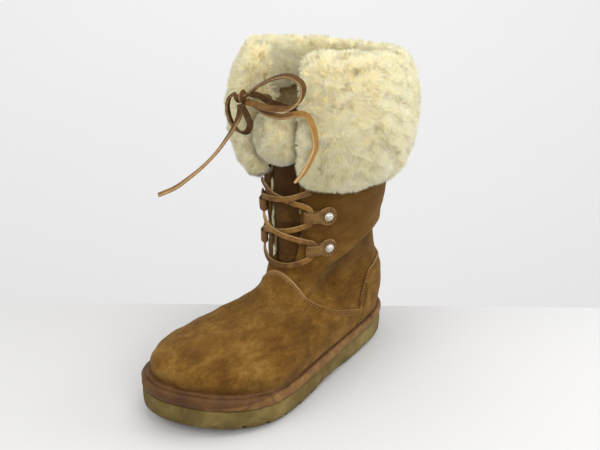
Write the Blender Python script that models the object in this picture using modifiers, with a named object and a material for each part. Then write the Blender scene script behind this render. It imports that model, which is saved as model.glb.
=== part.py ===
# A tall left lace-up boot in suede with a folded fleece cuff and a laced throat.
# Metres. The toe points toward -Y, the outer side of the foot toward +X, up is +Z.
# The origin is the middle of the heel's flat tread.
import math

import bmesh
import bpy
import numpy as np

# Main sizes
LENGTH = 0.272            # outsole from the back of the heel to the tip of the toe
BALL = 0.115              # outsole across the ball of the foot
SHAFT_HEIGHT = 0.262      # floor to the top edge of the shaft
HEEL_CENTRE = 0.043       # back of the heel to the origin
TOE_SPRING = 0.012        # rise of the toe tip above the floor
TOE_BREAK = 0.70          # share of the length where the toe starts to rise
ARCH_RISE = 0.0025        # rise of the waist above the floor
WALL = 0.003              # suede and fleece wall of the upper
GAP = 0.0003              # room left between neighbouring pieces

# Sole heights
OUTSOLE_TOP = 0.0176
WELT_BOTTOM = 0.0180
WELT_TOP = 0.0307
UPPER_BOTTOM = 0.0310

# Throat slit in the front of the shaft
THROAT_BOTTOM = 0.098
THROAT_HALF_LOW = 0.0125
THROAT_HALF_MIDDLE = 0.0165
THROAT_HALF_TOP = 0.0180

# Cuff
CUFF_HEM = 0.173
CUFF_TOP = 0.286
CUFF_LINING_END = 0.242   # height where the folded fleece ends inside the shaft
CUFF_DEPTH = 0.028        # how far the fleece stands off the shaft in front
CUFF_BACK_DEPTH = 0.0155  # and at the back
CUFF_EDGE_TURN = 2.80     # turn from the back of the shaft to a flap's front edge
CUFF_CORNER = 0.024       # round corner of a flap

# Laces
CORD_DIAMETER = 0.0046

COLUMNS = 36              # points round the upper
SOLE_COLUMNS = 46         # points round the sole

# Sole outline: half widths as shares of the ball width
OUTLINE_COLUMNS = ("share", "inner", "outer")
OUTLINE_ROWS = [
    (0.000, 0.000, 0.000),
    (0.012, 0.140, 0.130),
    (0.045, 0.255, 0.250),
    (0.110, 0.345, 0.345),
    (0.200, 0.375, 0.395),
    (0.320, 0.360, 0.425),
    (0.440, 0.360, 0.455),
    (0.560, 0.415, 0.485),
    (0.670, 0.485, 0.512),
    (0.760, 0.512, 0.502),
    (0.850, 0.490, 0.425),
    (0.920, 0.412, 0.300),
    (0.970, 0.300, 0.140),
    (1.000, 0.100, -0.100),
]

# Rings of the upper from the feather edge to the top of the shaft.
# back and front: shares of the length; heights: shares of the shaft height;
# widths: shares of the outline's width; oval: 0 follows the sole, 1 is an ellipse.
RING_COLUMNS = ("back", "front", "back_height", "front_height", "back_width", "front_width", "oval")
RING_ROWS = [
    (0.024, 0.958, 0.1183, 0.1183, 0.920, 0.915, 0.00),
    (0.016, 0.964, 0.1565, 0.1530, 0.945, 0.915, 0.00),
    (0.010, 0.950, 0.1985, 0.1830, 0.940, 0.830, 0.00),
    (0.009, 0.903, 0.2366, 0.2045, 0.920, 0.680, 0.03),
    (0.012, 0.830, 0.2672, 0.2225, 0.890, 0.545, 0.12),
    (0.019, 0.722, 0.2977, 0.2370, 0.840, 0.440, 0.30),
    (0.027, 0.612, 0.3321, 0.2500, 0.790, 0.430, 0.55),
    (0.035, 0.532, 0.3740, 0.2760, 0.745, 0.505, 0.78),
    (0.034, 0.482, 0.4275, 0.3430, 0.735, 0.650, 0.93),
    (0.019, 0.467, 0.4962, 0.4530, 0.780, 0.765, 1.00),
    (0.001, 0.468, 0.5840, 0.5700, 0.855, 0.840, 1.00),
    (-0.009, 0.473, 0.7061, 0.7061, 0.925, 0.910, 1.00),
    (-0.010, 0.478, 0.8473, 0.8473, 0.960, 0.960, 1.00),
    (-0.010, 0.483, 1.0000, 1.0000, 1.000, 1.000, 1.00),
]
FIRST_FLAT_RING = 10      # from this row up the rings are nearly level
LAST_RING = len(RING_ROWS) - 1


# Numbers and curves

def column(rows, names, name):
    """Read one named column of a table."""
    index = names.index(name)
    return np.array([row[index] for row in rows])


def smooth_between(knots, values, at):
    """Cubic curve through the knots, read at one place."""
    slopes = np.gradient(values, knots)
    index = int(np.clip(np.searchsorted(knots, at) - 1, 0, len(knots) - 2))
    step = knots[index + 1] - knots[index]
    t = (at - knots[index]) / step
    start = values[index] * (2 * t ** 3 - 3 * t ** 2 + 1)
    leave = slopes[index] * step * (t ** 3 - 2 * t ** 2 + t)
    end = values[index + 1] * (3 * t ** 2 - 2 * t ** 3)
    arrive = slopes[index + 1] * step * (t ** 3 - t ** 2)
    return float(start + leave + end + arrive)


def ease(t):
    """Soft step from 0 to 1."""
    t = min(max(t, 0.0), 1.0)
    return t * t * (3.0 - 2.0 * t)


OUTLINE_TURNS = np.arccos(1.0 - 2.0 * column(OUTLINE_ROWS, OUTLINE_COLUMNS, "share"))
OUTLINE_INNER = column(OUTLINE_ROWS, OUTLINE_COLUMNS, "inner")
OUTLINE_OUTER = column(OUTLINE_ROWS, OUTLINE_COLUMNS, "outer")
RING_NUMBERS = np.arange(len(RING_ROWS), dtype=float)
RINGS = {name: column(RING_ROWS, RING_COLUMNS, name) for name in RING_COLUMNS}


def fold_turn(turn):
    """A full turn starts at the back of the heel and runs round the outer side first."""
    turn = turn % (2.0 * math.pi)
    if turn <= math.pi:
        return turn, 1.0
    return 2.0 * math.pi - turn, -1.0


def half_width(angle, side):
    """Half width of the outline as a share of the ball width."""
    values = OUTLINE_OUTER if side > 0.0 else OUTLINE_INNER
    return smooth_between(OUTLINE_TURNS, values, angle)


def toe_rise(share):
    """Height of the toe spring."""
    along = min(max((share - TOE_BREAK) / (1.0 - TOE_BREAK), 0.0), 1.0)
    return TOE_SPRING * along ** 1.6


def arch_rise(share):
    """Height of the waist under the arch."""
    return ARCH_RISE * ease((share - 0.34) / 0.08) * ease((0.56 - share) / 0.08)


def upper_point(level, turn):
    """Point on the outside of the upper."""
    angle, side = fold_turn(turn)
    row = {name: smooth_between(RING_NUMBERS, RINGS[name], level) for name in RING_COLUMNS}
    along = (1.0 - math.cos(angle)) / 2.0
    foot = half_width(angle, side)
    ellipse = math.sin(angle) / 2.0
    width = row["back_width"] + (row["front_width"] - row["back_width"]) * ease((along - 0.15) / 0.5)
    across = (foot + (ellipse - foot) * row["oval"]) * width * BALL
    share = row["back"] + (row["front"] - row["back"]) * along
    height = (row["back_height"] + (row["front_height"] - row["back_height"]) * along) * SHAFT_HEIGHT
    fade = min(max(1.0 - (row["back_height"] * SHAFT_HEIGHT - UPPER_BOTTOM) / 0.05, 0.0), 1.0)
    return np.array((side * across, HEEL_CENTRE - share * LENGTH, height + toe_rise(share) * fade))


def upper_normal(level, turn):
    """Outward direction of the upper."""
    step = 0.04
    low = max(level - step, 0.0)
    high = min(level + step, float(LAST_RING))
    along = upper_point(level, turn + step) - upper_point(level, turn - step)
    upward = upper_point(high, turn) - upper_point(low, turn)
    normal = np.cross(upward, along)
    return normal / np.linalg.norm(normal)


def skin(level, turn, out):
    """Point off the outside of the upper by a distance."""
    return upper_point(level, turn) + upper_normal(level, turn) * out


def shaft_level(height):
    """Ring number at a height on the shaft."""
    heights = (RINGS["back_height"] + RINGS["front_height"])[FIRST_FLAT_RING:] * SHAFT_HEIGHT / 2.0
    return float(np.interp(height, heights, RING_NUMBERS[FIRST_FLAT_RING:]))


# Scene, materials and mesh helpers

def clear_scene():
    for item in list(bpy.data.objects):
        bpy.data.objects.remove(item, do_unlink=True)
    for item in list(bpy.data.collections):
        bpy.data.collections.remove(item)


def new_collection(name):
    made = bpy.data.collections.new(name)
    bpy.context.scene.collection.children.link(made)
    return made


clear_scene()
BOOT = new_collection("lace_up_boot")
CUTTERS = new_collection("cutters")
CUTTERS.hide_render = True


def paint(item, colour, roughness, metallic=0.0):
    """Give the object its own plain material."""
    made = bpy.data.materials.new(item.name)
    made.use_nodes = True
    shader = made.node_tree.nodes["Principled BSDF"]
    shader.inputs["Base Color"].default_value = (*colour, 1.0)
    shader.inputs["Roughness"].default_value = roughness
    shader.inputs["Metallic"].default_value = metallic
    item.data.materials.clear()
    item.data.materials.append(made)


def mesh_piece(name, points, faces, where=BOOT):
    """Object from points and faces."""
    mesh = bpy.data.meshes.new(name)
    mesh.from_pydata([tuple(point) for point in points], [], faces)
    mesh.update()
    item = bpy.data.objects.new(name, mesh)
    where.objects.link(item)
    if where is CUTTERS:
        item.display_type = "WIRE"
        item.hide_render = True
    return item


def ring_faces(rings, count, closed_ends):
    """Quads between rings, with ladder caps where the ends are closed."""
    faces = []
    for low in range(rings - 1):
        for place in range(count):
            after = (place + 1) % count
            start = low * count
            faces.append((start + place, start + count + place, start + count + after, start + after))
    if closed_ends:
        faces += ladder_cap(0, count, False)
        faces += ladder_cap((rings - 1) * count, count, True)
    return faces


def ladder_cap(first, count, upward):
    """Close a symmetric ring with faces straight across it."""
    faces = []
    for place in range(count // 2):
        ends = [place, place + 1, count - place - 1, (count - place) % count]
        around = [first + end for end in dict.fromkeys(ends)]
        faces.append(tuple(reversed(around)) if upward else tuple(around))
    return faces


def apply_modifiers(item):
    """Bake the object's modifiers into its mesh."""
    graph = bpy.context.evaluated_depsgraph_get()
    made = bpy.data.meshes.new_from_object(item.evaluated_get(graph))
    item.modifiers.clear()
    item.data = made


def cut(item, tool, operation="DIFFERENCE"):
    """Boolean with another object."""
    step = item.modifiers.new(operation.title(), "BOOLEAN")
    step.operation = operation
    step.solver = "EXACT"
    step.object = tool
    apply_modifiers(item)


def prism(name, profile, axis, start, end, where=CUTTERS):
    """Straight solid along an axis from a flat outline in the other two directions."""
    others = [index for index in range(3) if index != axis]
    mesh = bpy.data.meshes.new(name)
    shape = bmesh.new()
    corners = []
    for first, second in profile:
        place = [0.0, 0.0, 0.0]
        place[others[0]] = first
        place[others[1]] = second
        place[axis] = start
        corners.append(shape.verts.new(place))
    face = shape.faces.new(corners)
    grown = bmesh.ops.extrude_face_region(shape, geom=[face])
    moved = [part for part in grown["geom"] if isinstance(part, bmesh.types.BMVert)]
    shift = [0.0, 0.0, 0.0]
    shift[axis] = end - start
    bmesh.ops.translate(shape, vec=shift, verts=moved)
    bmesh.ops.recalc_face_normals(shape, faces=shape.faces)
    shape.to_mesh(mesh)
    shape.free()
    item = bpy.data.objects.new(name, mesh)
    where.objects.link(item)
    if where is CUTTERS:
        item.display_type = "WIRE"
        item.hide_render = True
    return item


# Sole

def sole_turns(count):
    return [2.0 * math.pi * place / count for place in range(count)]


def outline_point(turn, inset):
    """Point of the sole outline in plan, moved inward by a distance."""
    def plain(at):
        angle, side = fold_turn(at)
        share = (1.0 - math.cos(angle)) / 2.0
        return np.array((side * half_width(angle, side) * BALL, HEEL_CENTRE - share * LENGTH))

    ahead = plain(turn + 0.02) - plain(turn - 0.02)
    outward = np.array((ahead[1], -ahead[0])) * -1.0
    outward = outward / np.linalg.norm(outward)
    return plain(turn) - outward * inset


def sole_slab(name, layers, count):
    """Closed slab from layers of inset, height and how much the arch lifts it."""
    points = []
    for inset, height, arch in layers:
        for turn in sole_turns(count):
            flat = outline_point(turn, inset)
            share = (HEEL_CENTRE - flat[1]) / LENGTH
            points.append((flat[0], flat[1], height + toe_rise(share) + arch * arch_rise(share)))
    return mesh_piece(name, points, ring_faces(len(layers), count, True))


OUTSOLE_LAYERS = [
    (0.0044, 0.0000, 1.0),
    (0.0018, 0.0012, 1.0),
    (0.0002, 0.0040, 0.8),
    (0.0000, 0.0110, 0.3),
    (0.0002, 0.0164, 0.0),
    (0.0012, OUTSOLE_TOP, 0.0),
]
outsole = sole_slab("outsole", OUTSOLE_LAYERS, SOLE_COLUMNS)

# Shallow grooves across the tread end as the small notches seen along the lower edge
GROOVE_DEPTH = 0.0018
GROOVE_HALF_WIDTH = 0.0013
GROOVE_SHARES = [0.055, 0.225, 0.335, 0.575, 0.645, 0.715, 0.785, 0.855, 0.925]
for number, share in enumerate(GROOVE_SHARES):
    middle = HEEL_CENTRE - share * LENGTH
    floor = toe_rise(share)
    profile = [
        (middle - GROOVE_HALF_WIDTH, floor - 0.004),
        (middle + GROOVE_HALF_WIDTH, floor - 0.004),
        (middle + GROOVE_HALF_WIDTH, floor + GROOVE_DEPTH),
        (middle - GROOVE_HALF_WIDTH, floor + GROOVE_DEPTH),
    ]
    groove = prism(f"tread_groove_{number + 1}", profile, 0, -BALL, BALL)
    cut(outsole, groove)
paint(outsole, (0.23, 0.17, 0.08), 0.75)

WELT_LAYERS = [
    (0.0014, WELT_BOTTOM, 0.0),
    (-0.0002, 0.0196, 0.0),
    (-0.0008, 0.0232, 0.0),
    (0.0002, 0.0272, 0.0),
    (0.0022, 0.0298, 0.0),
    (0.0044, WELT_TOP, 0.0),
]
welt = sole_slab("welt", WELT_LAYERS, SOLE_COLUMNS)
paint(welt, (0.16, 0.07, 0.035), 0.6)


# Upper

def upper_grid(levels, count, out):
    """Points off the outside of the upper, one ring for each level."""
    points = []
    for level in levels:
        for place in range(count):
            points.append(skin(level, 2.0 * math.pi * place / count, out))
    return points


curved_levels = list(np.linspace(0.0, FIRST_FLAT_RING, 2 * FIRST_FLAT_RING + 1))
upper_levels = curved_levels + list(range(FIRST_FLAT_RING + 1, LAST_RING + 1))
upper = mesh_piece(
    "upper",
    upper_grid(upper_levels, COLUMNS, 0.0),
    ring_faces(len(upper_levels), COLUMNS, False),
)
shell = upper.modifiers.new("Wall", "SOLIDIFY")
shell.thickness = WALL
shell.offset = -1.0
shell.use_even_offset = True
apply_modifiers(upper)

THROAT_COLUMNS = ("height", "half")
THROAT_ROWS = [
    (THROAT_BOTTOM + 0.004, THROAT_HALF_LOW),
    (0.125, THROAT_HALF_MIDDLE),
    (0.176, THROAT_HALF_MIDDLE),
    (0.196, THROAT_HALF_TOP),
    (SHAFT_HEIGHT + 0.02, THROAT_HALF_TOP),
]
throat_profile = [(half, height) for height, half in THROAT_ROWS]
throat_profile += [(-half, height) for height, half in reversed(THROAT_ROWS)]
throat_profile += [(-0.007, THROAT_BOTTOM), (0.007, THROAT_BOTTOM)]
throat = prism("throat", throat_profile, 1, -0.20, -0.035)
cut(upper, throat)
paint(upper, (0.24, 0.12, 0.045), 0.9)


# Panels laid over the upper

PANEL_RINGS = 19
PANEL_GAP = 0.0005
panel_levels = upper_levels[:PANEL_RINGS]


def panel(name, thickness, profile):
    """Panel of even thickness over the upper, inside a side view outline."""
    outer_points = upper_grid(panel_levels, COLUMNS, PANEL_GAP + thickness)
    inner_points = upper_grid(panel_levels, COLUMNS, PANEL_GAP)
    below = []
    for place in range(COLUMNS):
        share = (HEEL_CENTRE - outer_points[place][1]) / LENGTH
        outer_points[place][2] = UPPER_BOTTOM + GAP + toe_rise(share)
        below.append(inner_points[place] - np.array((0.0, 0.0, 0.003)))
    item = mesh_piece(name, outer_points, ring_faces(len(panel_levels), COLUMNS, True))
    core_faces = ring_faces(len(panel_levels) + 1, COLUMNS, True)
    core = mesh_piece(name + "_core", below + inner_points, core_faces, CUTTERS)
    side = prism(name + "_side", profile, 0, -BALL, BALL)
    cut(item, side, "INTERSECT")
    cut(item, core)
    return item


# The lap seam runs from the throat down the instep and back to the counter
VAMP_PROFILE = [
    (-0.0345, 0.020), (-0.0345, 0.031), (-0.0275, 0.0385), (-0.0222, 0.0462),
    (-0.0434, 0.0556), (-0.0620, 0.0620), (-0.0763, 0.0688), (-0.0840, 0.0745),
    (-0.0873, 0.0820), (-0.0885, 0.0900), (-0.0905, 0.1010),
    (-0.2400, 0.1010), (-0.2400, 0.020),
]
vamp = panel("vamp", 0.0011, VAMP_PROFILE)
paint(vamp, (0.25, 0.125, 0.048), 0.9)

COUNTER_PROFILE = [
    (-0.0328, 0.020), (-0.0328, 0.031), (-0.0258, 0.0390), (-0.0200, 0.0480), (-0.0168, 0.0560),
    (-0.0140, 0.0660), (-0.0125, 0.0735), (0.0050, 0.0790), (0.0600, 0.0830),
    (0.0600, 0.020),
]
counter = panel("heel_counter", 0.0010, COUNTER_PROFILE)
paint(counter, (0.22, 0.11, 0.042), 0.9)


# Insole

INSOLE_OUT = -(WALL + 0.0005)
insole_points = []
for height, extra in ((UPPER_BOTTOM, 0.0006), (UPPER_BOTTOM + 0.001, 0.0), (UPPER_BOTTOM + 0.004, 0.0003)):
    for turn in sole_turns(COLUMNS):
        flat = skin(0.0, turn, INSOLE_OUT - extra)
        share = (HEEL_CENTRE - flat[1]) / LENGTH
        insole_points.append((flat[0], flat[1], height + toe_rise(share)))
insole = mesh_piece("insole", insole_points, ring_faces(3, COLUMNS, True))
paint(insole, (0.55, 0.45, 0.30), 0.95)


# Tongue and its fleece fold

def sheet_faces(rows, columns):
    """Quads of an open sheet."""
    faces = []
    for row in range(rows - 1):
        for place in range(columns - 1):
            corner = row * columns + place
            faces.append((corner, corner + columns, corner + columns + 1, corner + 1))
    return faces


TONGUE_OUT = -(WALL + 0.0011)
TONGUE_THICKNESS = 0.003
# level of the ring and half spread of the turn round the shaft's front
TONGUE_ROWS = [
    (7.6, 0.40), (8.2, 0.50), (9.0, 0.56), (10.0, 0.56), (10.8, 0.54), (11.4, 0.44), (11.9, 0.31), (12.3, 0.26),
]
tongue_points = []
TONGUE_ACROSS = 9
for level, spread in TONGUE_ROWS:
    for place in range(TONGUE_ACROSS):
        turn = math.pi + spread * (2.0 * place / (TONGUE_ACROSS - 1) - 1.0)
        tongue_points.append(skin(level, turn, TONGUE_OUT))
tongue = mesh_piece("tongue", tongue_points, sheet_faces(len(TONGUE_ROWS), TONGUE_ACROSS))
plate = tongue.modifiers.new("Plate", "SOLIDIFY")
plate.thickness = TONGUE_THICKNESS
plate.offset = -1.0
apply_modifiers(tongue)
paint(tongue, (0.22, 0.11, 0.042), 0.9)

PUFF_BOTTOM = 0.188
PUFF_TOP = 0.236
PUFF_HALF_TURN = 0.300
PUFF_DEPTH = 0.018
PUFF_ACROSS = 9
PUFF_UP = 9


def puff_fullness(across, up):
    """Rounded cushion: 1 in the middle, 0 at the edge."""
    inside = 1.0 - abs(across) ** 3.0 - abs(up) ** 3.0 + abs(across * up) ** 3.0
    return max(inside, 0.0) ** 0.45


def puff_rings():
    """Cross rings of the fleece fold from bottom to top."""
    rings = []
    for row in range(PUFF_UP):
        up = 2.0 * row / (PUFF_UP - 1) - 1.0
        height = PUFF_BOTTOM + (PUFF_TOP - PUFF_BOTTOM) * (up + 1.0) / 2.0
        level = shaft_level(height)
        narrow = max(1.0 - abs(up) ** 3.2, 0.05) ** 0.5
        front = []
        back = []
        for place in range(PUFF_ACROSS):
            across = 2.0 * place / (PUFF_ACROSS - 1) - 1.0
            turn = math.pi + PUFF_HALF_TURN * narrow * across
            lumps = 0.0009 * math.sin(9.0 * across + 3.0 * up) * math.cos(7.0 * up - 2.0 * across)
            full = PUFF_DEPTH * puff_fullness(across * 0.97, up * 0.97)
            front.append(skin(level, turn, -WALL + 0.0022 + full + lumps))
            back.append(skin(level, turn, -WALL - 0.0005))
        rings.append(front + list(reversed(back)))
    return rings


def loft_rings(name, rings):
    """Closed solid through a list of rings, both ends filled."""
    count = len(rings[0])
    points = [point for ring in rings for point in ring]
    faces = ring_faces(len(rings), count, False)
    faces.append(tuple(reversed(range(count))))
    last = (len(rings) - 1) * count
    faces.append(tuple(range(last, last + count)))
    return mesh_piece(name, points, faces)


def face_outward(item):
    """Turn all faces of a closed mesh outward."""
    shape = bmesh.new()
    shape.from_mesh(item.data)
    bmesh.ops.recalc_face_normals(shape, faces=shape.faces)
    shape.to_mesh(item.data)
    shape.free()


puff = loft_rings("tongue_fleece", puff_rings())
face_outward(puff)
paint(puff, (0.78, 0.70, 0.52), 1.0)


# Cuff

# Section of the folded fleece, from the hem inside the fold, out, over the top and down inside.
# out: share of the cuff depth; up: share of the way from hem to top
CUFF_SECTION = [
    (0.01, 0.020), (0.30, -0.020), (0.64, 0.010), (0.86, 0.110), (1.01, 0.280), (1.05, 0.450), (0.95, 0.620),
    (0.76, 0.780), (0.48, 0.910), (0.16, 0.985), (-0.16, 0.980), (-0.38, 0.920), (-0.48, 0.800),
    (-0.50, 0.690), (-0.40, 0.600),
]
CUFF_SLOT_OUT = 0.0004
CUFF_SLOT_IN = -(WALL + 0.0004)
CUFF_STATIONS = 39


def fleece_lumps(turn, up):
    """Uneven surface of the fleece."""
    slow = math.sin(5.0 * turn + 4.0 * up) * math.cos(3.0 * turn - 5.0 * up)
    quick = math.sin(17.0 * turn + 11.0 * up) * math.sin(13.0 * up + 2.0 * turn)
    return 0.0010 * slow + 0.0008 * quick


def cuff_ring(turn, edge):
    """One section of the cuff; edge runs from 0 at a flap's front edge to 1 where it is full."""
    bend = math.sqrt(max(1.0 - (1.0 - edge) ** 2, 0.0))
    corner = CUFF_CORNER * (1.0 - bend)
    hem = CUFF_HEM + 0.45 * corner
    front = 0.5 * (1.0 - math.cos(turn))
    top = max(CUFF_TOP - corner - 0.006 * (1.0 - front), SHAFT_HEIGHT + 0.007)
    thick = 0.45 + 0.55 * bend
    depth = CUFF_BACK_DEPTH + (CUFF_DEPTH - CUFF_BACK_DEPTH) * front
    ring = []
    for out_share, up_share in CUFF_SECTION:
        height = hem + (top - hem) * up_share
        out = max(out_share * depth * thick, 0.0006)
        if out_share > 0.1 or up_share > 0.9:
            out += fleece_lumps(turn, up_share) * thick
        if out_share < 0.0:
            out = CUFF_SLOT_IN - 0.001 + out_share * depth * 0.7 * thick
        place = skin(shaft_level(min(height, SHAFT_HEIGHT)), turn, 0.0)
        normal = upper_normal(12.0, turn)
        normal[2] = 0.0
        normal = normal / np.linalg.norm(normal)
        place = place + normal * out
        place[2] = height
        ring.append(place)
    slot_top = SHAFT_HEIGHT + 0.0006
    lining_end = CUFF_LINING_END
    for out, height in (
        (CUFF_SLOT_IN, lining_end),
        (CUFF_SLOT_IN, (lining_end + slot_top) / 2.0),
        (CUFF_SLOT_IN, slot_top),
        (CUFF_SLOT_OUT, slot_top),
        (CUFF_SLOT_OUT, 0.2420),
        (CUFF_SLOT_OUT, 0.2220),
        (CUFF_SLOT_OUT, 0.2035),
    ):
        ring.append(skin(shaft_level(min(height, SHAFT_HEIGHT)), turn, out) * (1.0, 1.0, 0.0) + (0.0, 0.0, height))
    return ring


cuff_rings = []
for station in range(CUFF_STATIONS):
    across = 2.0 * station / (CUFF_STATIONS - 1) - 1.0
    spaced = math.copysign(1.0 - (1.0 - abs(across)) ** 1.25, across)
    turn = CUFF_EDGE_TURN * spaced
    edge = min((CUFF_EDGE_TURN - abs(turn)) / 0.42, 1.0)
    cuff_rings.append(cuff_ring(turn, edge))
cuff = loft_rings("cuff", cuff_rings)
face_outward(cuff)
paint(cuff, (0.80, 0.72, 0.54), 1.0)


# Lace loops, rivets and crossings

def ribbon(name, centres, sides, width, thickness):
    """Flat strap along centres; sides hold the direction of its width."""
    rings = []
    for index, centre in enumerate(centres):
        before = centres[max(index - 1, 0)]
        after = centres[min(index + 1, len(centres) - 1)]
        ahead = (after - before) / np.linalg.norm(after - before)
        side = sides[index] - ahead * np.dot(sides[index], ahead)
        side = side / np.linalg.norm(side)
        face = np.cross(ahead, side)
        half_side = side * width / 2.0
        half_face = face * thickness / 2.0
        rings.append([
            centre + half_side + half_face,
            centre - half_side + half_face,
            centre - half_side - half_face,
            centre + half_side - half_face,
        ])
    item = loft_rings(name, rings)
    face_outward(item)
    return item


def throat_level(height):
    """Ring number at a height on the front of the boot."""
    heights = RINGS["front_height"][5:] * SHAFT_HEIGHT
    return float(np.interp(height, heights, RING_NUMBERS[5:]))


LOOP_WIDTH = 0.0095
LOOP_THICKNESS = 0.0014
LOOP_EYE = 0.0036         # clear depth of a loop's eye
RIVET_RADIUS = 0.0043
RIVET_DOME = 0.0021

# Folded strap: turn ahead of the rivet and height off the upper, from the under end round the eye
LOOP_UNDER = 0.0010
LOOP_PATH = [
    (-0.115, 0.0), (0.02, 0.0), (0.14, 0.0), (0.250, 0.04), (0.308, 0.28), (0.322, 0.55),
    (0.308, 0.82), (0.250, 1.04), (0.13, 0.94), (0.06, 0.42), (-0.01, 0.34), (-0.115, 0.34),
]
LOOP_ROWS = [
    # height on the boot, turn of the rivet
    (0.1463, 2.395),
    (0.1145, 2.317),
]


def boot_side(turn, side):
    """The same turn on the outer or the inner side."""
    return turn if side > 0 else 2.0 * math.pi - turn


def lace_loop(name, height, rivet_turn, side):
    """Folded leather loop lying on the upper."""
    level = throat_level(height)
    centres = []
    ups = []
    for ahead, lift in LOOP_PATH:
        turn = boot_side(rivet_turn + ahead, side)
        out = LOOP_UNDER + lift * (LOOP_EYE + LOOP_THICKNESS)
        centres.append(skin(level, turn, out))
        ups.append(upper_point(level + 0.2, turn) - upper_point(level - 0.2, turn))
    item = ribbon(name, centres, ups, LOOP_WIDTH, LOOP_THICKNESS)
    paint(item, (0.17, 0.085, 0.035), 0.7)
    return item


def rivet(name, height, rivet_turn, side):
    """Round metal dome on the strap."""
    level = throat_level(height)
    turn = boot_side(rivet_turn - 0.045, side)
    normal = upper_normal(level, turn)
    up = upper_point(level + 0.2, turn) - upper_point(level - 0.2, turn)
    up = up - normal * np.dot(up, normal)
    up = up / np.linalg.norm(up)
    across = np.cross(up, normal)
    top = LOOP_UNDER + 0.34 * (LOOP_EYE + LOOP_THICKNESS) + LOOP_THICKNESS / 2.0 + GAP
    rings = []
    for radius, rise in ((0.92, 0.0), (1.0, 0.2), (0.92, 0.55), (0.62, 0.88), (0.22, 1.0)):
        ring = []
        for place in range(10):
            around = 2.0 * math.pi * place / 10
            arm = across * math.cos(around) + up * math.sin(around)
            ring.append(skin(level, turn, top + RIVET_DOME * rise) + arm * RIVET_RADIUS * radius)
        rings.append(ring)
    item = loft_rings(name, rings)
    face_outward(item)
    paint(item, (0.75, 0.75, 0.74), 0.3, 1.0)
    return item


for number, (height, rivet_turn) in enumerate(LOOP_ROWS):
    for side, word in ((1, "outer"), (-1, "inner")):
        lace_loop(f"lace_loop_{word}_{number + 1}", height, rivet_turn, side)
        rivet(f"rivet_{word}_{number + 1}", height, rivet_turn, side)

# One flat lace: side, turn short of the front, height and height off the upper
LACE_PATH = [
    (1, 0.500, 0.1700, 0.0045), (1, 0.340, 0.1665, 0.0058), (1, 0.140, 0.1625, 0.0068), (-1, 0.060, 0.1605, 0.0070),
    (-1, 0.260, 0.1582, 0.0060), (-1, 0.430, 0.1560, 0.0046), (-1, 0.510, 0.1525, 0.0037), (-1, 0.515, 0.1463, 0.0035),
    (-1, 0.515, 0.1405, 0.0037), (-1, 0.400, 0.1370, 0.0052), (-1, 0.200, 0.1330, 0.0070), (1, 0.000, 0.1300, 0.0076),
    (1, 0.215, 0.1275, 0.0070), (1, 0.430, 0.1240, 0.0050), (1, 0.593, 0.1207, 0.0038), (1, 0.593, 0.1145, 0.0035),
    (1, 0.593, 0.1087, 0.0037), (1, 0.460, 0.1045, 0.0046), (1, 0.240, 0.1010, 0.0052), (1, 0.000, 0.1000, 0.0054),
    (-1, 0.240, 0.1010, 0.0052), (-1, 0.460, 0.1045, 0.0046), (-1, 0.593, 0.1087, 0.0037), (-1, 0.593, 0.1145, 0.0035),
    (-1, 0.593, 0.1207, 0.0036), (-1, 0.430, 0.1240, 0.0032), (-1, 0.215, 0.1275, 0.0034), (1, 0.000, 0.1300, 0.0036),
    (1, 0.200, 0.1330, 0.0036), (1, 0.400, 0.1370, 0.0034), (1, 0.515, 0.1405, 0.0035), (1, 0.515, 0.1463, 0.0035),
    (1, 0.510, 0.1525, 0.0036), (1, 0.430, 0.1560, 0.0036), (1, 0.260, 0.1582, 0.0036), (1, 0.060, 0.1605, 0.0036),
    (-1, 0.140, 0.1625, 0.0036), (-1, 0.340, 0.1665, 0.0036), (-1, 0.500, 0.1700, 0.0036),
]
lace_centres = []
lace_sides = []
for side, short, height, out in LACE_PATH:
    turn = boot_side(math.pi - short, side)
    level = throat_level(height)
    lace_centres.append(skin(level, turn, out))
for index, (side, short, height, out) in enumerate(LACE_PATH):
    before = lace_centres[max(index - 1, 0)]
    after = lace_centres[min(index + 1, len(lace_centres) - 1)]
    normal = upper_normal(throat_level(height), boot_side(math.pi - short, side))
    lace_sides.append(np.cross(normal, after - before))
crossings = ribbon("lace_crossings", lace_centres, lace_sides, 0.0043, 0.0018)
paint(crossings, (0.20, 0.10, 0.04), 0.7)


# Knot, bow and free ends

def smooth_path(points, count):
    """Evenly spaced points along a soft curve through the given points."""
    points = np.array(points)
    dense = []
    for index in range(len(points) - 1):
        before = points[max(index - 1, 0)]
        start = points[index]
        end = points[index + 1]
        after = points[min(index + 2, len(points) - 1)]
        for step in range(12):
            t = step / 12.0
            dense.append(0.5 * (
                2.0 * start + (end - before) * t
                + (2.0 * before - 5.0 * start + 4.0 * end - after) * t ** 2
                + (3.0 * start - before - 3.0 * end + after) * t ** 3
            ))
    dense.append(points[-1])
    dense = np.array(dense)
    lengths = np.concatenate(([0.0], np.cumsum(np.linalg.norm(np.diff(dense, axis=0), axis=1))))
    even = np.linspace(0.0, lengths[-1], count)
    return np.stack([np.interp(even, lengths, dense[:, axis]) for axis in range(3)], axis=1)


def cord(name, points, count):
    """Round cord along a smooth path."""
    path = smooth_path(points, count)
    curve = bpy.data.curves.new(name, "CURVE")
    curve.dimensions = "3D"
    curve.bevel_depth = CORD_DIAMETER / 2.0
    curve.bevel_resolution = 2
    curve.use_fill_caps = True
    line = curve.splines.new("POLY")
    line.points.add(count - 1)
    for point, place in zip(line.points, path):
        point.co = (*place, 1.0)
    item = bpy.data.objects.new(name, curve)
    BOOT.objects.link(item)
    paint(item, (0.20, 0.10, 0.04), 0.7)
    return item


BOW = 0.050               # unit of the bow tables
KNOT = np.array((-0.0178, -0.1120, 0.2487))
KNOT_RADIUS = 0.0036
KNOT_TURNS = 1.5
KNOT_PITCH = 0.0053

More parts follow.
